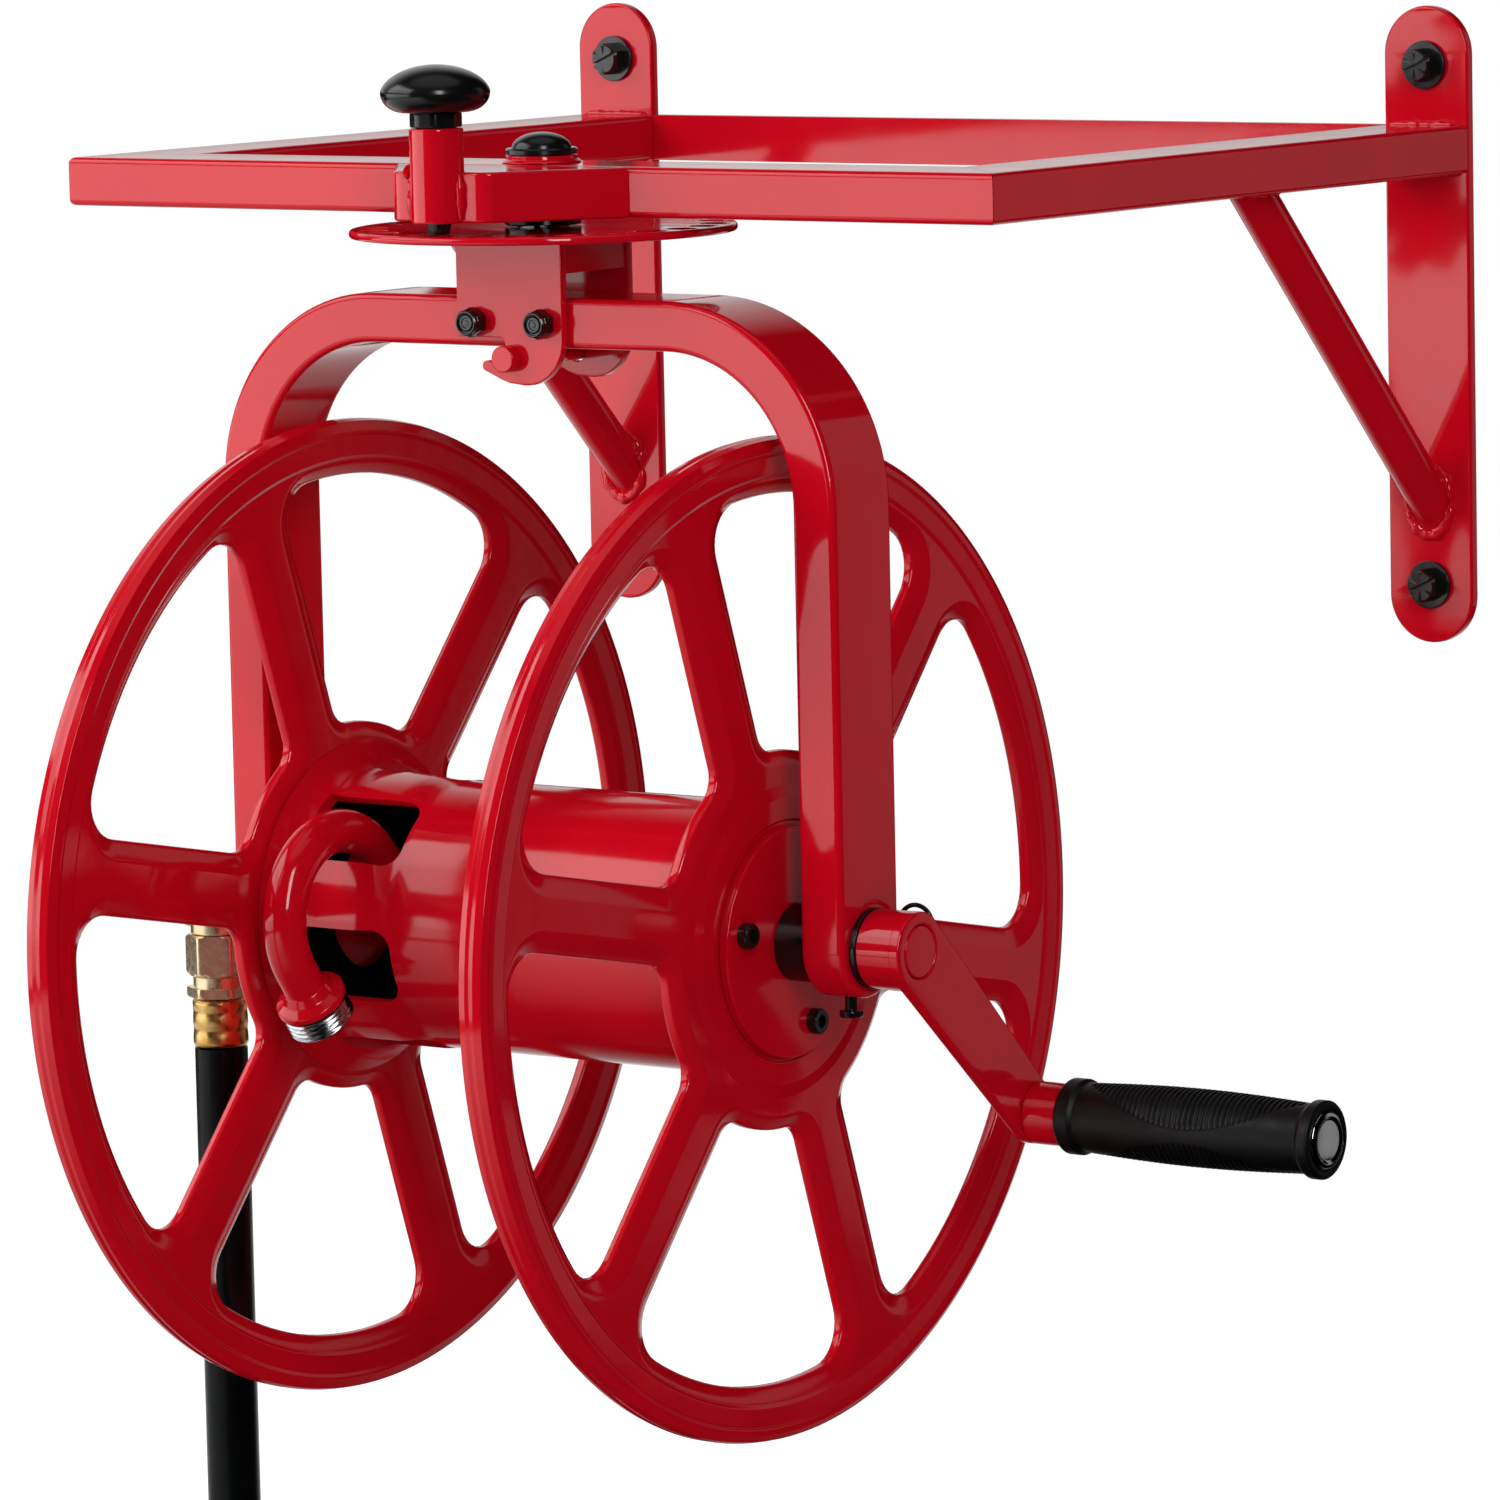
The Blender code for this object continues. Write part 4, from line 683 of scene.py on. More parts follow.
def hose_route():
    """Points down the hose: straight from the ferrule, then a hanging coil and its end.

    The coil is a circle in the plane square to Y that moves back along Y by the pitch each
    turn, and steps away near its end so that the coupling clears the first turn.
    """
    x, y = INLET_X, SWIVEL_Y
    lead = 2 * HOSE_RADIUS
    finer = 3
    total = COIL_STEPS * COIL_TURNS
    step = np.arange(1, int(total * finer) + 1) / finer
    angle = np.pi + 2 * np.pi * step / COIL_STEPS
    climb = COIL_PITCH * np.clip(step - 1.0, 0.0, total - 2.0) / COIL_STEPS
    climb += END_STEP * (1 - np.cos(np.pi * np.maximum(0.0, step - total + 5.0) / 5)) / 2
    coil = np.stack([x + COIL_RADIUS * (1 + np.cos(angle)), y + climb,
                     COIL_Z - lead + COIL_RADIUS * np.sin(angle)], axis=1)

    def upright(x, y, first, last, count):
        """Evenly spaced points from one height to another."""
        return np.linspace((x, y, first), (x, y, last), count)

    end_x, end_y, end_z = coil[-1]
    return np.concatenate([upright(x, y, HOSE_TOP, COIL_Z, 24), upright(x, y, COIL_Z, COIL_Z - lead, 4)[1:],
                           coil, upright(end_x, end_y, end_z, end_z + lead, 4)[1:]])


def lead_in_hose():
    """The black hose, a round tube along its route."""
    route = hose_route()
    length = float(np.linalg.norm(np.diff(route, axis=0), axis=1).sum())
    hose = swept("garden_hose", route, HOSE_RADIUS, 40, (0, 1, 0))
    dress(hose, "hose_rubber", "swivel_yoke", "lead_in_hose", "lead_in_hose_coil")
    return hose, route, length


def crimped(name, radius, start, length, centre):
    """A brass sleeve squeezed onto the hose: its radius dips at two rings and a little at six flats."""
    heights = np.linspace(length, 0, 25)
    edge = 1.0 - 0.10 * np.exp(-(np.minimum(heights, length - heights) / 0.8) ** 2)
    profile = [(0.0, start + length), *zip(radius * edge, start + heights), (0.0, start)]

    def squeeze(angle, r, h):
        """Two bell curves along the sleeve draw it in, and a cosine round it makes the flats."""
        along = (h - start) / length
        rings = np.exp(-((along - 0.36) / 0.09) ** 2) + 0.8 * np.exp(-((along - 0.72) / 0.08) ** 2)
        return r * (1 - 0.038 * rings - 0.02 * rings * np.cos(6 * angle))

    return turned(name, profile, "Z", centre, 96, squeeze)


def hose_end():
    """The hose's far end: a crimped sleeve under an eight-sided swivel nut with an open mouth."""
    x, y, z = hose_route()[-1]
    z += GAP
    sleeve = crimped("sleeve", 11.0, z, 20.0, (x, y, 0))
    profile = [(13.3, 38), (15.6, 38), (16.3, 37), (16.3, 21), (15.4, 20), (10.0, 20), (10.0, 25), (13.3, 25)]
    nut = turned("hose_end_nut", soft([(r, z + h) for r, h in profile], 0.5, 3, True), "Z", (x, y, 0), 96,
                 flats(8, 30.5, 14.5))
    return dress(join(nut, sleeve), "brass", "swivel_yoke", "hose_end_coupling")


def hose_strap():
    """The strap round both turns at the coil's bottom: two half circles joined by flats."""
    first = SWIVEL_Y + COIL_PITCH * (0.25 - 1 / COIL_STEPS)
    z = COIL_Z - 2 * HOSE_RADIUS - COIL_RADIUS
    loops = [arc((first + COIL_PITCH, z), radius, -90, 90, 24) + arc((first, z), radius, 90, 270, 24)
             for radius in (HOSE_RADIUS + 2.4, HOSE_RADIUS + 0.9)]
    strap = plate("hose_strap", loops, 14.0, "X", (INLET_X + COIL_RADIUS, 0, 0), 0.4)
    return dress(strap, "strap", "swivel_yoke", "hose_tie")


# The wall frame


def frame_bars():
    """The front rail and both arms, whose ends lie on the 45-degree planes of the front corners.

    Each bar is a loft between two slanted copies of the tube's section, a rectangle with round
    corners: u across and v up.
    """
    x, y = HALF_WIDE - TUBE_CORNER, HALF_HIGH - TUBE_CORNER
    corners = [(x, y), (-x, y), (-x, -y), (x, -y)]
    u, v = np.array([point for i, corner in enumerate(corners)
                     for point in arc(corner, TUBE_CORNER, 90 * i, 90 * i + 90, 6)]).T
    mitre = GAP / 2 / math.sqrt(2)
    rail = lofted("frame_front_rail", [np.stack([u + mitre - ARM_X, SWIVEL_Y + u, v], axis=1),
                                       np.stack([ARM_X - u - mitre, SWIVEL_Y + u, v], axis=1)])
    cut(rail, turned("hole", rod(14.7, 30, -30), "Z", SWIVEL, 64))
    dress(rail, "red_paint", "wall_frame", "front_rail")
    for side, label in SIDES:
        x = side * (ARM_X - u)
        arm = lofted(label + "_frame_arm", [np.stack([x, SWIVEL_Y + u + 2 * mitre, v], axis=1),
                                            np.stack([x, 0 * u + PLATE_FACE, v], axis=1)])
        dress(arm, "red_paint", "wall_frame", label + "_arm_tube")


def wall_plates():
    """Two flat bars with half-round ends and two bolt holes each."""
    upper, lower = PLATE_TOP - HALF_WIDE, PLATE_TOP - PLATE_LENGTH + HALF_WIDE
    edge = arc((0, upper), HALF_WIDE, 0, 180, 36) + arc((0, lower), HALF_WIDE, 180, 360, 36)
    holes = [circle((0, z), 4.4, 24) for z in BOLT_HEIGHTS.values()]
    for side, label in SIDES:
        centre = (side * ARM_X, -PLATE_THICK / 2, 0)
        item = plate(label + "_plate", [edge] + holes, PLATE_THICK, "Y", centre, 1.0)
        dress(item, "red_paint", "wall_frame", label + "_wall_plate")


def lag_bolt(name, x, z):
    """A slotted hex head on a flat washer, its face chamfered to a circle."""
    centre = (x, 0, z)
    back = PLATE_FACE - LAG_WASHER
    washer = turned("washer", ring(3.9, 9.6, PLATE_FACE, back, 0.35), "Y", centre, 64)
    head = turned(name, [(0, back), (6.7, back), (6.7, back - 5.6), (6.3, back - 6.3), (5.6, back - 6.8),
                         (0, back - 6.8)], "Y", centre, 72, flats(6, LAG_ACROSS))
    slot = box("slot", (-9, back - 9, -0.75), (9, back - 4.7, 0.75))
    slot.data.transform(Matrix.Translation(Vector(centre) * MM) @ Matrix.Rotation(math.radians(-24), 4, "Y"))
    cut(head, slot)
    return join(head, washer, turned("shank", rod(3.95, back, -0.5), "Y", centre, 32))


def lag_bolts():
    """A bolt at each hole of the wall plates."""
    for side, hand in SIDES:
        for level, z in BOLT_HEIGHTS.items():
            bolt = lag_bolt(hand + "_" + level + "_hex_bolt", side * ARM_X, z)
            dress(bolt, "black_steel", "wall_frame", hand + "_" + level + "_lag_bolt")


def braces():
    """Round bars at 45 degrees, cut level under the arm and upright at the wall plate."""
    low = -HALF_HIGH - GAP
    u, v = np.array(circle((0, 0), BRACE_RADIUS, 60)).T
    slant = v * math.sqrt(2) - BRACE_REACH
    for side, label in SIDES:
        x = side * ARM_X + u
        item = lofted(label + "_frame_brace", [np.stack([x, PLATE_FACE + slant, 0 * u + low], axis=1),
                                               np.stack([x, 0 * u + PLATE_FACE, low + slant], axis=1)])
        dress(item, "red_paint", "wall_frame", label + "_brace")


def weld(name, path, radius, seed, body="wall_frame"):
    """A painted weld bead: a thin round bead whose radius ripples along its path."""
    steps = np.arange(len(path))
    ripple = 1 + 0.16 * np.sin(steps * 1.9 + seed) + 0.12 * np.sin(steps * 0.83 + 2 * seed)
    ends = np.clip(np.minimum(steps + 1, len(path) - steps) / 3.0, 0.25, 1.0)
    return dress(swept(name, path, radius * ripple * ends, 12), "red_paint", body, sharp=70)


def along(first, last, pitch=1.6):
    """Points every pitch millimetres from first to last."""
    first, last = np.array(first, dtype=float), np.array(last, dtype=float)
    count = max(4, int(np.linalg.norm(last - first) / pitch))
    return first + (last - first) * np.linspace(0, 1, count)[:, None]


def frame_welds():
    """Beads where the arms and braces meet the wall plates and the rails.

    The beads round the braces are ellipses, as a 45-degree cut through a round bar is.
    """
    turn = np.linspace(0, 2 * np.pi, 44)
    for side, label in SIDES:
        x = side * ARM_X
        for place, z, radius, seed in (("top", HALF_HIGH, 1.7, side), ("under", -HALF_HIGH, 1.5, side + 2)):
            path = along((x - 16, PLATE_FACE, z), (x + 16, PLATE_FACE, z))
            weld(label + "_arm_weld_" + place, path, radius, seed)
        foot = -BRACE_REACH - HALF_HIGH - GAP - 0.8
        reach = BRACE_RADIUS + 0.9
        wall = np.stack([x + reach * np.cos(turn), 0 * turn + PLATE_FACE + 0.6,
                         foot + reach * math.sqrt(2) * np.sin(turn)], axis=1)
        weld(label + "_brace_weld", wall, 2.6, side + 4)
        under = np.stack([x + BRACE_RADIUS * np.cos(turn),
                          PLATE_FACE - BRACE_REACH + BRACE_RADIUS * math.sqrt(2) * np.sin(turn),
                          0 * turn - HALF_HIGH - GAP / 2], axis=1)
        weld(label + "_brace_weld_arm", under, 1.3, side + 5)


# The latch and the swivel


def latch():
    """The bracket, barrel and bushing on the front rail, and the knob of the latch.

    The knob's crown is a quarter of an ellipse, a little fuller than round, and its underside
    a hollow quarter that curves in to the neck.
    """
    front = -FRAME_DEPTH - GAP
    y = LATCH[1]
    edge = soft([(-55.0, front), (-21.0, y), (21.0, y), (55.0, front)], 10.0, 14)
    bracket = plate("latch_block", [edge], TUBE_HIGH, "Z", (0, 0, 0), 1.2)
    cut(bracket, turned("seat", rod(10.5, 40, -40), "Z", LATCH, 64))
    cut(bracket, turned("relief", rod(19.4, 40, -40), "Z", SWIVEL, 64))
    dress(bracket, "cast_paint", "wall_frame", "latch_bracket")
    barrel = soft([(7.3, 26.0), (10.2, 26.0), (10.2, -HALF_HIGH), (5.7, -HALF_HIGH), (5.7, 2 - HALF_HIGH),
                   (7.3, 2 - HALF_HIGH)], 0.9, 4, True)
    dress(turned("latch_tube", barrel, "Z", LATCH), "red_paint", "wall_frame", "latch_barrel")
    base = 26.3
    bushing = soft([(4.3, base + 5.2), (9.8, base + 5.2), (9.8, base), (7.0, base), (7.0, base - 5),
                    (4.3, base - 5)], 0.5, 3, True)
    dress(turned("latch_guide", bushing, "Z", LATCH, 96, flats(8, 18.7, 9.0, 0.2)), "black_plastic",
          "wall_frame", "latch_bushing")
    for side, label, radius in ((-1, "left", 2.0), (1, "right", 1.5)):
        weld("barrel_weld_" + label, along((side * 11.2, y - 1.0, -8.5), (side * 11.2, y - 1.0, 8.6)), radius,
             side + 7)
    weld("barrel_weld_blob", along((-14.0, y + 0.5, 9.2), (-10.8, y - 1.2, 9.2), 0.6), 2.6, 3.0)
    under, bore_top = base + 5.5, 43.3
    crown = [(0.0, KNOB_WIDEST + KNOB_CROWN)]
    crown += [(KNOB_RADIUS * math.sin(t), KNOB_WIDEST + KNOB_CROWN * max(0.0, math.cos(t)) ** 1.15)
              for t in np.radians(np.arange(5, 91, 5))]
    crown += [(KNOB_NECK + (KNOB_RADIUS - KNOB_NECK) * math.cos(t),
               KNOB_WIDEST - (KNOB_WIDEST - under) * math.sin(t)) for t in np.radians(np.arange(8, 89, 8))]
    crown += [(KNOB_NECK, under), (10.4, under), (10.4, under + 2.8), (4.3, under + 2.8), (4.3, bore_top),
              (0.0, bore_top)]
    knob = turned("latch_mushroom_knob", crown, "Z", LATCH, 128)
    dress(knob, "black_plastic", "latch", "latch_knob", sharp=60)


def swivel():
    """The sleeve's collar, the cap over the swivel shaft, the thrust washer and the index disc."""
    sleeve = soft([(11.5, 12.4), (13.6, 12.4), (13.8, 11.0), (15.4, 9.8), (14.4, 9.4), (14.4, -HALF_HIGH),
                   (11.5, -HALF_HIGH)], 0.5, 4, True)
    dress(turned("swivel_collar", sleeve, "Z", SWIVEL), "red_paint", "wall_frame", "swivel_sleeve")
    flange = 13.1
    dome = [(0.0, flange + 8.0)]
    dome += [(11.4 * math.sin(t), flange + 1.9 + 6.1 * math.cos(t)) for t in np.radians(np.arange(8, 81, 8))]
    dome += [(r, flange + h) for r, h in ((11.5, 2.0), (13.2, 2.0), (13.8, 1.4), (13.8, -0.1), (13.5, -0.4),
                                          (11.2, -0.4), (11.2, -2.8), (0.0, -2.8))]
    dress(turned("swivel_dome_cap", dome, "Z", SWIVEL), "black_plastic", "wall_frame", "swivel_cap")
    washer = ring(9.8, 14.6, -HALF_HIGH - GAP, DISC_TOP + GAP, 0.4)
    dress(turned("black_thrust_washer", washer, "Z", SWIVEL), "black_plastic", "wall_frame", "thrust_washer")
    turns = np.radians(-90 + 360 / INDEX_HOLES * np.arange(INDEX_HOLES))
    loops = [circle((0, 0), DISC_RADIUS, 180), circle((0, 0), 9.8, 72)]
    loops += [circle((INDEX_RADIUS * math.cos(t), INDEX_RADIUS * math.sin(t)), 5.0, 24) for t in turns]
    centre = (0, SWIVEL_Y, DISC_TOP - DISC_THICK / 2)
    disc = plate("perforated_disc", loops, DISC_THICK - 0.5, "Z", centre, 1.3)
    dress(disc, "red_paint", "swivel_yoke", "index_disc")


def clevis_outline():
    """A cheek: square above, and a hook open to the left below, round a pin."""
    half, pin, bottom = 25.0, HOOK_PIN_Z, -73.6
    edge = [(-half, CLEVIS_TOP), (-half, pin + 7.8)]
    edge += soft([(-half, pin + 7.8), (-3.2, pin + 7.8), (-2.0, pin + 3.9)], 2.0)[1:]
    edge += arc((0, pin), 4.1, 118, -150, 28)
    edge += [(-6.0, pin - 1.5)] + arc((-11.4, pin - 3.1), 2.0, 80, 240, 12)
    edge += [(-7.9, pin - 6.7), (-4.7, pin - 8.1), (-0.6, pin - 9.4)]
    return edge + arc((half - 18.0, bottom + 18.0), 18.0, 260, 360, 32) + [(half, CLEVIS_TOP)]


def clevis():
    """Two cheeks that hold the yoke, the webs between them, their bolts, nuts and the hook pin."""
    outside = CLEVIS_FACE + CLEVIS_THICK
    holes = [circle((side * CLEVIS_BOLT_X, YOKE_Z), 3.45, 24) for side in (-1, 1)]
    front, rear = [plate("clevis_" + label + "_cheek", [clevis_outline()] + holes, CLEVIS_THICK, "Y",
                         (0, SWIVEL_Y + side * (CLEVIS_FACE + CLEVIS_THICK / 2), 0), 0.5)
                   for side, label in ((-1, "front"), (1, "rear"))]
    webs = [box("web", (x, SWIVEL_Y - CLEVIS_FACE + GAP, CLEVIS_TOP - 13.0),
                (x + 4.0, SWIVEL_Y + CLEVIS_FACE, CLEVIS_TOP)) for x in (-24.0, 20.0)]
    dress(front, "red_paint", "swivel_yoke", "clevis_front_plate")
    dress(join(rear, *webs), "red_paint", "swivel_yoke", "clevis_rear_plate")
    face = outside + GAP
    lock_nut = [(3.4, 0), (5.4, 0), (5.77, 0.5), (5.77, 3.7), (5.1, 4.5), (4.85, 4.7), (4.8, 6.1), (4.4, 6.5),
                (4.0, 6.5), (3.7, 5.9), (3.4, 5.8)]
    end = -face - 6.1
    bolt = [(0, face + 4.2), (4.5, face + 4.2), (5.3, face + 3.7), (5.77, face + 3.2), (5.77, face),
            (3.15, face), (3.15, end + 0.5), (2.8, end), (2.1, end), (1.8, end + 0.35), (1.1, end + 0.35),
            (0.9, end + 0.1), (0, end + 0.1)]
    for side, hand in SIDES:
        centre = (side * CLEVIS_BOLT_X, SWIVEL_Y, YOKE_Z)
        nut = [(r, -face - h) for r, h in lock_nut]
        nut = turned(hand + "_nylon_nut", nut, "Y", centre, 96, flats(6, NUT_ACROSS))
        dress(nut, "black_steel", "swivel_yoke", "clevis_" + hand + "_lock_nut")
        head = turned(hand + "_clevis_hex_bolt", bolt, "Y", centre, 72, flats(6, NUT_ACROSS))
        dress(head, "black_steel", "swivel_yoke", "clevis_" + hand + "_bolt")
    pin = soft([(0, face + 3.0), (3.5, face + 3.0), (3.5, -outside), (5.1, -outside), (5.1, -face - 5.0),
                (0, -face - 5.0)], 0.6, 4)
    cross_pin = turned("hook_cross_pin", pin, "Y", (0, SWIVEL_Y, HOOK_PIN_Z), 64)
    dress(cross_pin, "red_paint", "swivel_yoke", "hook_pin")
    for side, label, seed in ((-1, "front", 1.0), (1, "rear", 2.0)):
        y = SWIVEL_Y + side * outside
        path = along((-23, y, CLEVIS_TOP), (23, y, CLEVIS_TOP))
        weld("clevis_weld_" + label, path, 1.3, seed, "swivel_yoke")


# The yoke


def yoke():
    """The bent rectangular tube with round closed ends.

    A point of the tube's section, w across and n outward, runs down one leg, round a half
    circle of radius w about the axle, back up on the other side and the same at the other leg.
    """
    x, y = HALF_WIDE - TUBE_CORNER, HALF_HIGH - TUBE_CORNER
    section = [(0.0, HALF_HIGH)] + arc((x, y), TUBE_CORNER, 90, 0, 6)
    section += arc((x, -y), TUBE_CORNER, 0, -90, 6) + [(0.0, -HALF_HIGH)]
    middle = YOKE_HALF - HALF_HIGH
    bend = YOKE_BEND - HALF_HIGH
    turn = np.linspace(0, np.pi, 25)[1:-1]
    rows = []
    for w, n in section:
        side = [(-middle - n, z) for z in np.linspace(AXLE_Z, YOKE_Z - bend, 8)]
        side += arc((bend - middle, YOKE_Z - bend), bend + n, 180, 90, 28)[1:]
        side += arc((middle - bend, YOKE_Z - bend), bend + n, 90, 0, 28)
        side += [(middle + n, z) for z in np.linspace(YOKE_Z - bend, AXLE_Z, 8)[1:]]
        loop = [(x, SWIVEL_Y - w, z) for x, z in side]
        loop += [(middle + n, SWIVEL_Y - w * math.cos(t), AXLE_Z - w * math.sin(t)) for t in turn]
        loop += [(x, SWIVEL_Y + w, z) for x, z in side[::-1]]
        loop += [(-middle - n, SWIVEL_Y + w * math.cos(t), AXLE_Z - w * math.sin(t)) for t in turn]
        rows.append(loop)
    item = solid("reel_yoke", np.concatenate(rows), grid_faces(len(rows), len(rows[0])))
    cut(item, turned("bore", rod(12.3, 170, -170), "X", AXLE, 64))
    dress(item, "red_paint", "swivel_yoke", "yoke")


# The reel


def window_outline(grow):
    """One wheel window between two spokes, moved outward by grow.

    In polar form about the hub: its sides lie 14.5 - 1.5 grow from the spokes' centre lines,
    its ends on circles of 169 + grow and 72 - grow, and its corners are arcs tangent to both.
    """
    side = 14.5 - 1.5 * grow
    outer, inner = 169.0 + grow, 72.0 - grow
    round_out, round_in = 15.0 + grow, 10.0 + grow
    angle_in = math.degrees(math.asin((side + round_in) / (inner + round_in)))
    angle_out = math.degrees(math.asin((side + round_out) / (outer - round_out)))

    def corner(distance, radius, first, last):
        """An arc that touches the side, its centre at a distance from the hub."""
        x = math.sqrt(distance ** 2 - (side + radius) ** 2)
        return arc((x, side + radius), radius, first, last, 10)

    lower = corner(inner + round_in, round_in, angle_in + 180, 270)
    lower += corner(outer - round_out, round_out, -90, angle_out)
    turn = math.radians(60)
    upper = [(x * math.cos(turn) + y * math.sin(turn), x * math.sin(turn) - y * math.cos(turn))
             for x, y in lower[::-1]]
    return (lower + arc((0, 0), outer, angle_out, 60 - angle_out, 20)[1:-1] + upper
            + arc((0, 0), inner, 60 - angle_in, angle_in, 8)[1:-1])


# How far a window's outline has grown at each distance from the wheel's middle
WINDOW_FLANK = [(0.0, 0.0), (1.2, 0.0), (1.9, 0.25), (2.5, 0.85), (3.2, 1.9), (4.0, 3.2), (4.5, 4.15),
                (4.8, 4.9), (4.95, 5.5), (5.03, 6.1), (8.0, 6.3)]


def window_cutter(index):
    """A loft through a window: rings of its outline, straight in the middle and rounded outward."""
    turn = math.radians(SPOKE_ANGLE + 60.0 * index)
    rings = []
    for x, grow in [(-x, g) for x, g in WINDOW_FLANK[:0:-1]] + WINDOW_FLANK:
        flat = np.array(window_outline(grow))
        y = -(flat[:, 0] * math.cos(turn) - flat[:, 1] * math.sin(turn))
        z = flat[:, 0] * math.sin(turn) + flat[:, 1] * math.cos(turn)
        rings.append(np.stack([np.full(len(flat), WHEEL_X + x), SWIVEL_Y + y, AXLE_Z + z], axis=1))
    return lofted("window", rings)


def wheel_section():
    """The wheel's section from bore to bore: a ring round the hub plate and stepped rims."""
    land, rim, raised = WHEEL_HALF, WHEEL_RADIUS, HUB_RADIUS + 1.5
    outer = [(AXLE_BORE, land), (raised, land), (raised + 0.6, land + 0.6), (raised + 9.0, land + 0.6),
             (raised + 14.0, land), (rim - 15.0, land), (rim - 13.6, land + 0.8), (rim - 7.0, land + 1.0),
             (rim - 6.4, land + 0.5), (rim - 5.6, land + 1.3), (rim - 3.3, land + 1.2),
             (rim - 0.9, land - 0.1)]
    tread = [(rim - 0.1, 1.8), (rim - 0.4, 0.0), (rim - 0.1, -1.8)]
    inner = [(rim - 0.9, 0.1 - land), (rim - 4.6, -land - 1.3), (rim - 5.4, -land - 1.3),
             (rim - 6.6, -land - 0.8), (rim - 14.0, -land - 0.8), (rim - 15.4, -land), (AXLE_BORE, -land)]
    return soft(outer + tread + inner, 0.7, 4, True)


def wheels():
    """The cast wheels: a turned section with six windows whose flanks are rounded into the face."""
    wheel = turned("right_cast_wheel", wheel_section(), "X", (WHEEL_X, SWIVEL_Y, AXLE_Z), 240)
    cutters = [window_cutter(i) for i in range(6)]
    cut(wheel, join(cutters[0], *cutters[1:]))
    other = mirrored(wheel, "left_cast_wheel")
    dress(wheel, "cast_paint", "reel", "right_wheel", sharp=50)
    dress(other, "cast_paint", "reel", "left_wheel", sharp=50)


def socket(angle, radius, height):
    """A shape for turned: the inner rings of a screw's head become a hexagon 4.8 mm across."""
    hexagon = 2.4 / np.cos((angle + np.pi / 6) % (np.pi / 3) - np.pi / 6)
    return np.where((radius < 3.5) & (radius > 0.1), hexagon, radius)


def hubs():
    """The round hub plates and the socket-head screws that hold them."""
    face = WHEEL_X + WHEEL_HALF + GAP
    out = face + HUB_THICK
    screw = [(0, 0), (4.9, 0), (4.9, 3.2), (4.4, 3.9), (2.9, 3.9), (2.9, 1.6), (0, 1.6)]
    for side, label in SIDES:
        disc = turned(label + "_hub_disc", ring(AXLE_BORE, HUB_RADIUS, side * out, side * face, 0.8, 4), "X",
                      AXLE, 128)
        dress(disc, "cast_paint", "reel", label + "_hub_plate")
        for k in range(3):
            turn = math.radians(SPOKE_ANGLE + 120.0 * k)
            centre = (0.0, SWIVEL_Y - HUB_SCREW_CIRCLE * math.cos(turn),
                      AXLE_Z + HUB_SCREW_CIRCLE * math.sin(turn))
            head = turned(label + "_hub_screw_" + str(k + 1), [(r, side * (out + h)) for r, h in screw], "X",
                          centre, 48, socket)
            dress(head, "black_steel", "reel")


def drum():
    """The drum: a turned tube, flared at its left end and with six windows cut near it."""
    end = WHEEL_X - WHEEL_HALF - GAP
    r = DRUM_RADIUS
    fillet = [(r + 3.0, end), (r + 1.4, end - 1.2), (r + 0.4, end - 3.0), (r, end - 6.0)]
    band = [(r, -41.0), (r + 0.3, -45.0), (r + 1.1, -50.0), (r + 1.9, -55.0), (r + 2.2, -59.0)]
    flare = [(r + grown, from_end - end) for grown, from_end in (
        (2.2, 24.0), (2.2, 19.0), (2.2, 14.0), (3.4, 9.0), (6.2, 5.0), (9.6, 2.0), (13.0, 0.0))]
    inside = [(24.0, -end), (24.0, 4.0 - end), (r - 3.0, 4.0 - end), (r - 3.0, end - 4.0), (24.0, end - 4.0),
              (24.0, end)]
    body = turned("hose_drum", fillet + band + flare + inside, "X", AXLE, 160)
    low, high, half, corner = -88.0, -43.0, 15.0, 8.0
    shape = [(low, -half)] + arc((high - corner, corner - half), corner, 270, 360, 10)
    shape += arc((high - corner, half - corner), corner, 0, 90, 10) + [(low, half)]
    for i in range(6):
        turn = math.radians(DRUM_WINDOW_ANGLE + 60.0 * i)
        window = plate("drum window", [shape], 36.0, "Z", (0, 0, 0), 0.01)
        about_axle = Matrix.Translation(Vector(AXLE) * MM) @ Matrix.Rotation(math.pi / 2 - turn, 4, "X")
        window.data.transform(about_axle @ Matrix.Translation((0, 0, DRUM_RADIUS * MM)))
        cut(body, window)
    dress(body, "drum_paint_shaded_inside", "reel", "drum")


def axles():
    """The right axle's end, the bushings in the yoke's legs and the washers outside them."""
    axle = turned("reel_axle_end", soft(rod(AXLE_RADIUS, CRANK_END, 60.0), 0.7, 4), "X", AXLE, 64)
    dress(axle, "red_paint", "reel", "right_axle")
    leg_in = YOKE_HALF - TUBE_HIGH - GAP
    hub = WHEEL_X + WHEEL_HALF + HUB_THICK + 2 * GAP
    shape = [(14.7, hub), (14.7, leg_in), (12.0, leg_in), (12.0, YOKE_HALF), (AXLE_BORE, YOKE_HALF),
             (AXLE_BORE, hub)]
    for side, label in SIDES:
        bush = soft([(r, side * h) for r, h in shape], 0.5, 3, True)
        washer = ring(AXLE_BORE, 15.3, side * WASHER_END, side * (YOKE_HALF + GAP), 0.6)
        for kind, profile in (("bushing", bush), ("washer", washer)):
            piece = turned(label + "_black_" + kind, profile, "X", AXLE)
            dress(piece, "black_plastic", "swivel_yoke", label + "_axle_" + kind)


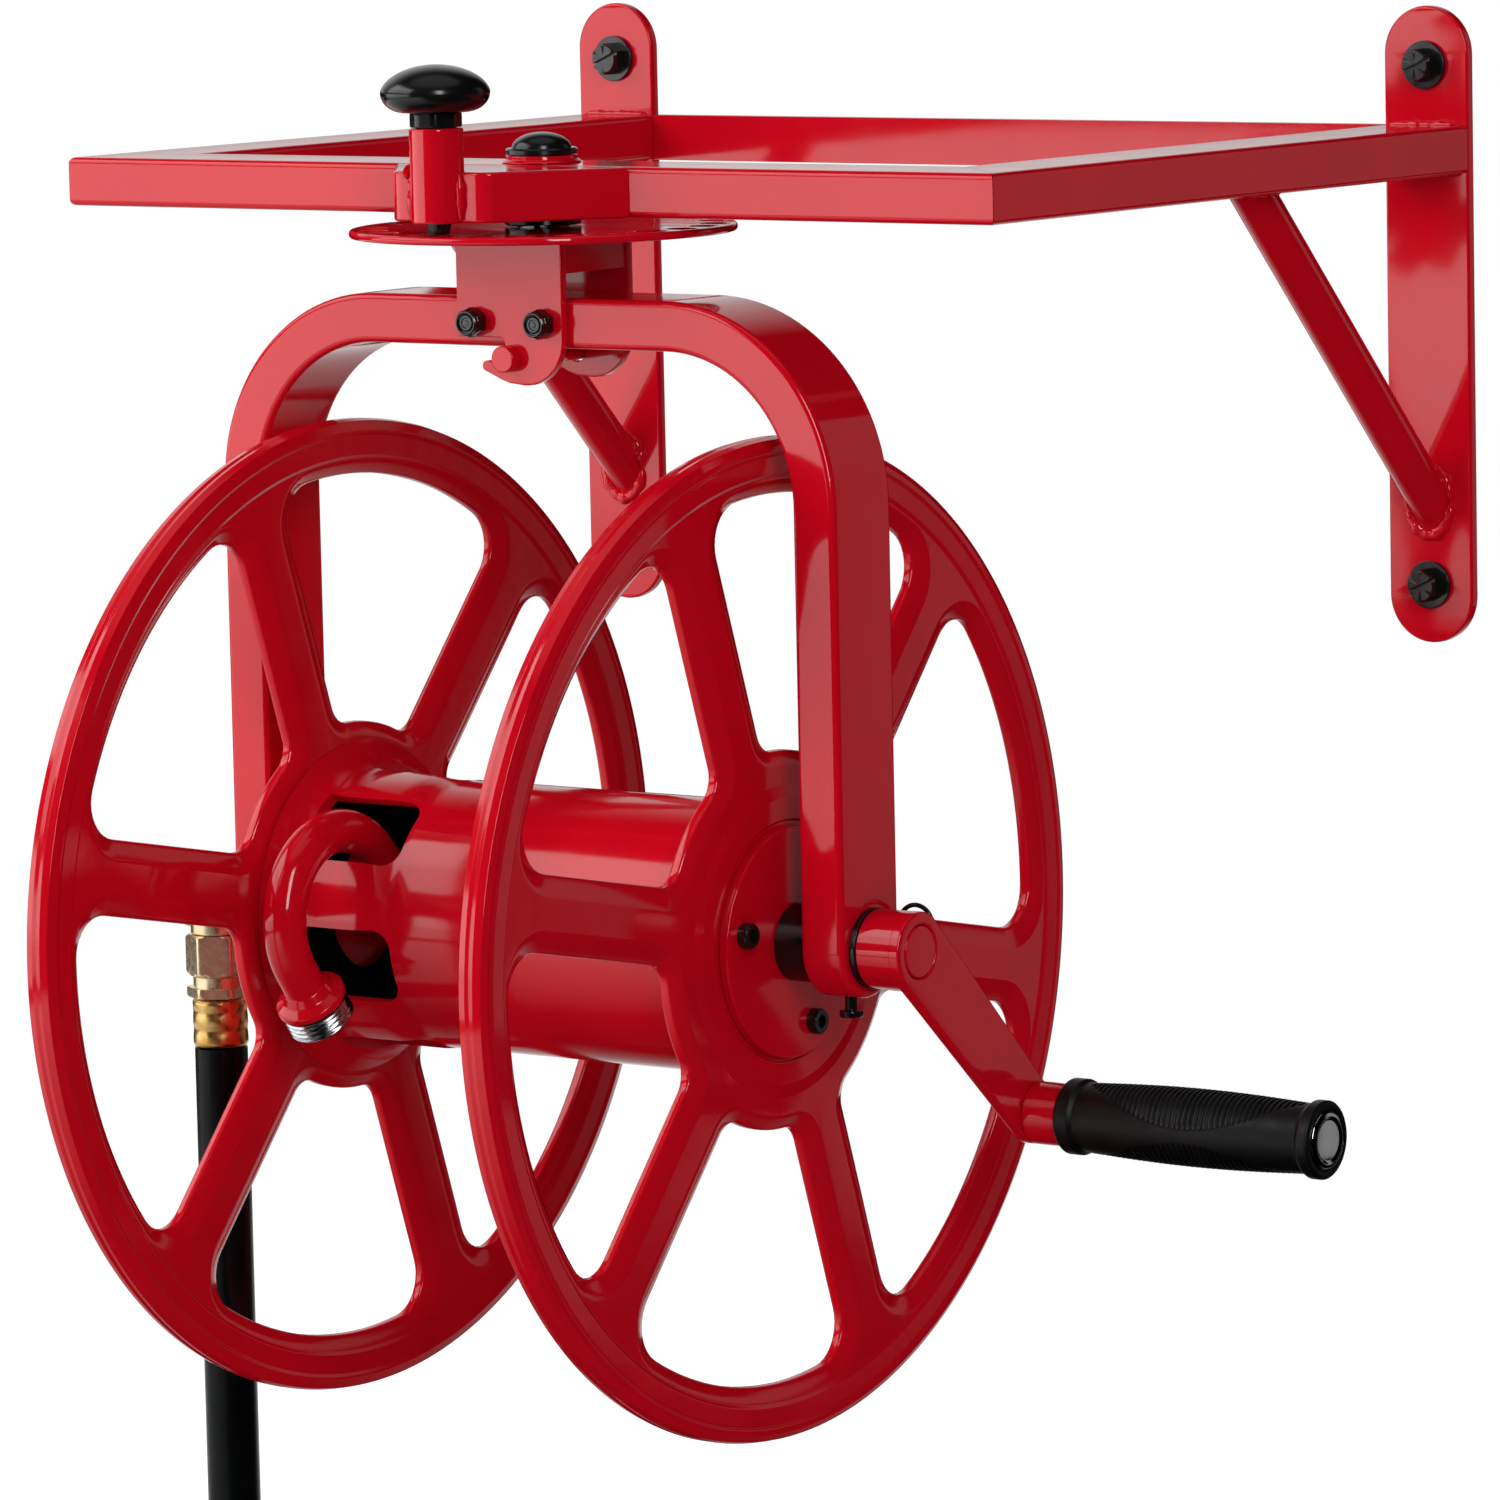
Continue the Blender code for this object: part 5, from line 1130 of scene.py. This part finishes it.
def crank():
    """The crank: a boss and a flat tapered arm in one, the collar, and the pin with its pull ring.

    The arm's outline is two arcs about its ends, joined by the lines that touch both.
    """
    lean = math.degrees(math.asin((CRANK_BOSS - CRANK_TIP) / CRANK_LENGTH))
    slope = math.degrees(CRANK_ANGLE)
    hand = (CRANK_LENGTH * math.cos(CRANK_ANGLE), CRANK_LENGTH * math.sin(CRANK_ANGLE))
    edge = arc((0, 0), CRANK_BOSS, slope + 90 - lean, slope + 270 + lean, 40)
    edge += arc(hand, CRANK_TIP, slope - 90 + lean, slope + 90 - lean, 28)
    holes = [circle((0, 0), AXLE_BORE, 72), circle(hand, 5.3, 36)]
    arm = plate("crank_lever", [edge] + holes, 5.0, "X", (CRANK_END - 2.5, SWIVEL_Y, AXLE_Z), 0.9)
    boss = ring(AXLE_BORE, CRANK_BOSS - 0.1, WASHER_END + GAP, CRANK_END - 1.0, 0.5)
    dress(join(arm, turned("boss", boss, "X", AXLE)), "red_paint", "reel", "crank_arm")
    collar = ring(5.3, CRANK_TIP, GRIP_START - GAP, CRANK_END + GAP, 0.9, 4)
    dress(turned("crank_collar", collar, "X", HAND), "red_paint", "reel", "handle_collar")
    x = YOKE_HALF + 10.6
    reach = CRANK_BOSS + 2.2
    pin = turned("crank_lock_pin", soft(rod(1.6, reach, -6.7), 0.4), "Y", (x, SWIVEL_Y, AXLE_Z), 32)
    turn = np.linspace(0, 2 * np.pi, 73)
    loop = np.stack([x - 1.6 + 7.4 * np.cos(turn), 0 * turn + SWIVEL_Y + reach - 0.3,
                     AXLE_Z + math.sqrt(7.4 ** 2 - 1.6 ** 2) + 7.4 * np.sin(turn)], axis=1)
    pull_ring = swept("pull ring", loop, 0.9, 16, (0, 1, 0), caps=False)
    dress(join(pin, pull_ring), "black_steel", "reel", "crank_pin")


def grip_radius(s):
    """The grip's outer radius: collars at both ends, a waist after them and a low belly between.

    The belly is a sine over the grip's length, and smooth steps blend it into the collars.
    """
    belly = 12.7 + 2.2 * np.sin(np.pi * np.clip(s / GRIP_LENGTH, 0, 1)) ** 0.9
    near = 14.6 - 0.5 * np.clip((0.9 - s) / 0.9, 0, 1) ** 2
    far = 14.9 - 0.8 * np.clip((s - GRIP_LENGTH + 0.9) / 0.9, 0, 1) ** 2
    steps = np.clip([(s - 5.8) / 2.2, (GRIP_LENGTH - s - 4.2) / 2.6], 0, 1)
    blend_near, blend_far = steps * steps * (3 - 2 * steps)
    radius = near * (1 - blend_near) + belly * blend_near
    return far * (1 - blend_far) + radius * blend_far


def ribs(angle, radius, height):
    """Ribs on the grip's upper and lower sides, with smooth panels front and back.

    They stand where the angle from straight up or down is under a lens-shaped limit that is
    widest at mid-length, and a cosine along the grip gives each rib its round top.
    """
    s = (height - GRIP_START - RIBS_FROM) / RIBS_LENGTH
    limit = np.radians(80.0) * np.sin(np.pi * np.clip(s, 0, 1)) ** 0.75
    twice = 2 * (angle - np.pi / 2 - 0.10)
    away = np.abs(np.arctan2(np.sin(twice), np.cos(twice))) / 2
    edge = np.clip((limit - away) / 0.10, 0, 1)
    wave = 0.5 - 0.5 * np.cos(2 * np.pi * (height - GRIP_START) / RIB_PITCH)
    depth = RIB_DEPTH * edge * (1 - wave ** 0.6) * ((s > 0) & (s < 1))
    return np.where(radius > 6.0, radius - depth, radius)


def grip():
    """The rubber grip and the chrome cap in its end."""
    last = RIBS_FROM + RIBS_LENGTH
    s = np.concatenate([np.linspace(0, RIBS_FROM, 25)[:-1], np.linspace(RIBS_FROM, last, 420)[:-1],
                        np.linspace(last, GRIP_LENGTH, 21)])
    end = GRIP_END
    profile = [(5.4, GRIP_START), *zip(grip_radius(s), GRIP_START + s), (13.2, end + 0.2), (11.6, end - 0.1),
               (11.4, end - 1.2), (5.4, end - 1.2)]
    dress(turned("ribbed_grip", profile, "X", HAND, 144, ribs), "grip_rubber", "crank_handle", "crank_grip",
          sharp=75)
    cap = soft([(0.0, end + 0.9), (7.6, end + 0.6), (8.3, end + 0.9), (9.0, end + 1.3), (10.3, end + 1.1),
                (11.1, end + 0.2), (11.1, end - 0.9), (0.0, end - 0.9)], 0.6, 4)
    dress(turned("chrome_grip_cap", cap, "X", HAND), "chrome", "crank_handle", "grip_end_cap", sharp=50)


# The outlet and the inlet


def outlet():
    """The outlet bend out of the drum with its flared end, and the threaded end below it.

    The bend's path is a cubic curve out of the axle into a circle in an upright plane square
    to the axle, and a short straight.
    """
    rise = math.radians(36)
    leaving = np.array((0, -math.cos(rise), math.sin(rise)))
    start = np.array((GOOSE_CENTRE[0] + 3.0, SWIVEL_Y, AXLE_Z)) + 10.5 * leaving
    turn = np.radians(np.linspace(140, -37, 64))
    bend = np.array(GOOSE_CENTRE) + GOOSE_LOOP * np.stack([0 * turn, -np.cos(turn), np.sin(turn)], axis=1)
    lead = bend[0] + (bend[0] - bend[1]) / np.linalg.norm(bend[0] - bend[1]) * 9.0
    out = start + 6.0 * leaving
    t = np.linspace(0, 1, 14)[:-1, None]
    curve = (1 - t) ** 3 * start + 3 * t * (1 - t) ** 2 * out + 3 * t * t * (1 - t) * lead + t ** 3 * bend[0]
    direction = bend[-1] - bend[-2]
    direction /= np.linalg.norm(direction)
    straight = bend[-1] + direction * np.array([[3.5], [7.0], [10.0]])
    pipe = swept("goose_neck", np.concatenate([curve, bend, straight]), GOOSE_RADIUS, 48, (1, 0, 0))
    downward = Vector(direction).to_track_quat("Z", "Y").to_matrix().to_4x4()
    at = Matrix.Translation(Vector(straight[-1]) * MM) @ downward
    flare = turned("flare", soft([(0, 5.5), (13.9, 5.5), (13.9, 2.6), (10.4, 0.6), (8.6, -2.5), (7.0, -3.5),
                                  (0, -3.5)], 1.1, 6), "Z", (0, 0, 0))
    flare.data.transform(at)
    dress(join(pipe, flare), "cast_paint", "reel", "outlet_bend")

    def thread(angle, radius, height):
        """Grooves from a triangle wave along the height that moves on by a pitch each turn."""
        phase = ((height - 7.5) / THREAD_PITCH - angle / (2 * np.pi)) % 1.0
        groove = 1 - (1 - np.abs(phase - 0.5) * 2) ** 0.8
        inside = np.clip((height - 6.4) / 0.6, 0, 1) * np.clip((THREAD_END - height) / 0.7, 0, 1)
        return np.where(radius > 11.0, radius - 1.15 * groove * inside, radius)

    profile = [(9.6, THREAD_END)] + [(13.25, h) for h in np.linspace(THREAD_END, THREAD_START, 66)]
    nipple = turned("outlet_male_thread", profile + [(9.6, THREAD_START)], "Z", (0, 0, 0), 120, thread)
    nipple.data.transform(at)
    dress(nipple, "bright_steel", "reel", "outlet_thread", sharp=80)


def inlet():
    """The brass elbow outside the left leg, its coupling nut, the hose fitting and the ferrule."""
    x, y = INLET_X, SWIVEL_Y
    centre = (x, y, 0)
    leg = -WASHER_END - GAP
    body = [(0, x - 12.0), (14.4, x - 12.0), (14.4, leg), (10.4, leg), (10.4, x + 4.5), (0, x + 4.5)]
    elbow = turned("brass_elbow", soft(body, 1.6, 5), "X", (0, y, AXLE_Z))
    drop = [(0, 0), (10.8, 0), (10.8, 15.7), (7.8, 15.7), (7.8, 31), (0, 31)]
    drop = turned("elbow_drop", soft([(r, AXLE_Z - h) for r, h in drop], 0.5, 3), "Z", centre, 64)
    dress(join(elbow, drop), "brass", "swivel_yoke", "inlet_elbow")
    top, low = AXLE_Z - 16.0, AXLE_Z - 32.4
    nut = turned("brass_coupling_nut", [(8.1, top), (11.6, top), (12.6, top - 0.6), (13.2, top - 1.6),
                                        (13.2, low + 1.6), (12.6, low + 0.6), (11.6, low), (8.1, low)],
                 "Z", centre, 96, flats(6, 22.9))
    dress(nut, "brass", "swivel_yoke", "coupling_nut")
    top, low = AXLE_Z - 32.7, AXLE_Z - 41.1
    neck = turned("brass_hose_fitting", [(5.2, top), (10.0, top), (10.3, top - 0.3), (10.3, top - 4.4),
                                         (12.6, top - 4.5), (13.1, top - 5.0), (13.1, low + 0.5), (12.6, low),
                                         (5.2, low)], "Z", centre, 96, flats(6, 23.0, 12.0))
    dress(neck, "brass", "swivel_yoke", "hose_fitting")
    ferrule = crimped("crimped_ferrule", 10.9, AXLE_Z - 61.4, 20.0, centre)
    dress(ferrule, "gold_brass", "swivel_yoke", "hose_ferrule", sharp=60)


def drag_screw():
    """The small thumb screw under the right leg."""
    low = AXLE_Z - HALF_WIDE
    profile = soft([(0, AXLE_Z - 12.6), (2.3, AXLE_Z - 12.6), (2.3, low - 5.2), (4.4, low - 5.2),
                    (4.4, low - 7.8), (0, low - 7.8)], 0.6, 4)
    screw = turned("drag_thumb_screw", profile, "Z", (YOKE_HALF - HALF_HIGH, SWIVEL_Y, 0), 48)
    dress(screw, "black_steel", "swivel_yoke", "drag_screw")


def plain_nodes():
    """Give the solids that stay as they are their materials, and the back rail softer edges."""
    # The inlet pipe inside the drum is black steel as painted shade, so that it shows dark through the drum's
    # windows
    finish = {"back_rail": "red_paint", "swivel_bushing": "black_plastic", "latch_spring": "bright_steel",
              "latch_plunger": "black_steel", "swivel_shaft": "bright_steel", "inlet_pipe": "black_steel",
              "handle_spindle": "bright_steel"}
    for name, look in finish.items():
        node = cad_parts[name]
        if not node.material_slots:
            node.data.materials.append(None)
        for slot in node.material_slots:
            slot.link = "OBJECT"
            slot.material = LOOKS[look]
    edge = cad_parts["back_rail"].modifiers.new("soft edges", "BEVEL")
    edge.width = 0.0006
    edge.segments = 2


photo_camera()
hose, route, hose_length = lead_in_hose()
coupling = hose_end()
strap = hose_strap()
for make in (frame_bars, wall_plates, lag_bolts, braces, frame_welds, latch, swivel, clevis, yoke, wheels,
             hubs, drum, axles, crank, grip, outlet, inlet, drag_screw, plain_nodes, studio, floor):
    make()
bpy.context.scene.view_settings.view_transform = "Standard"
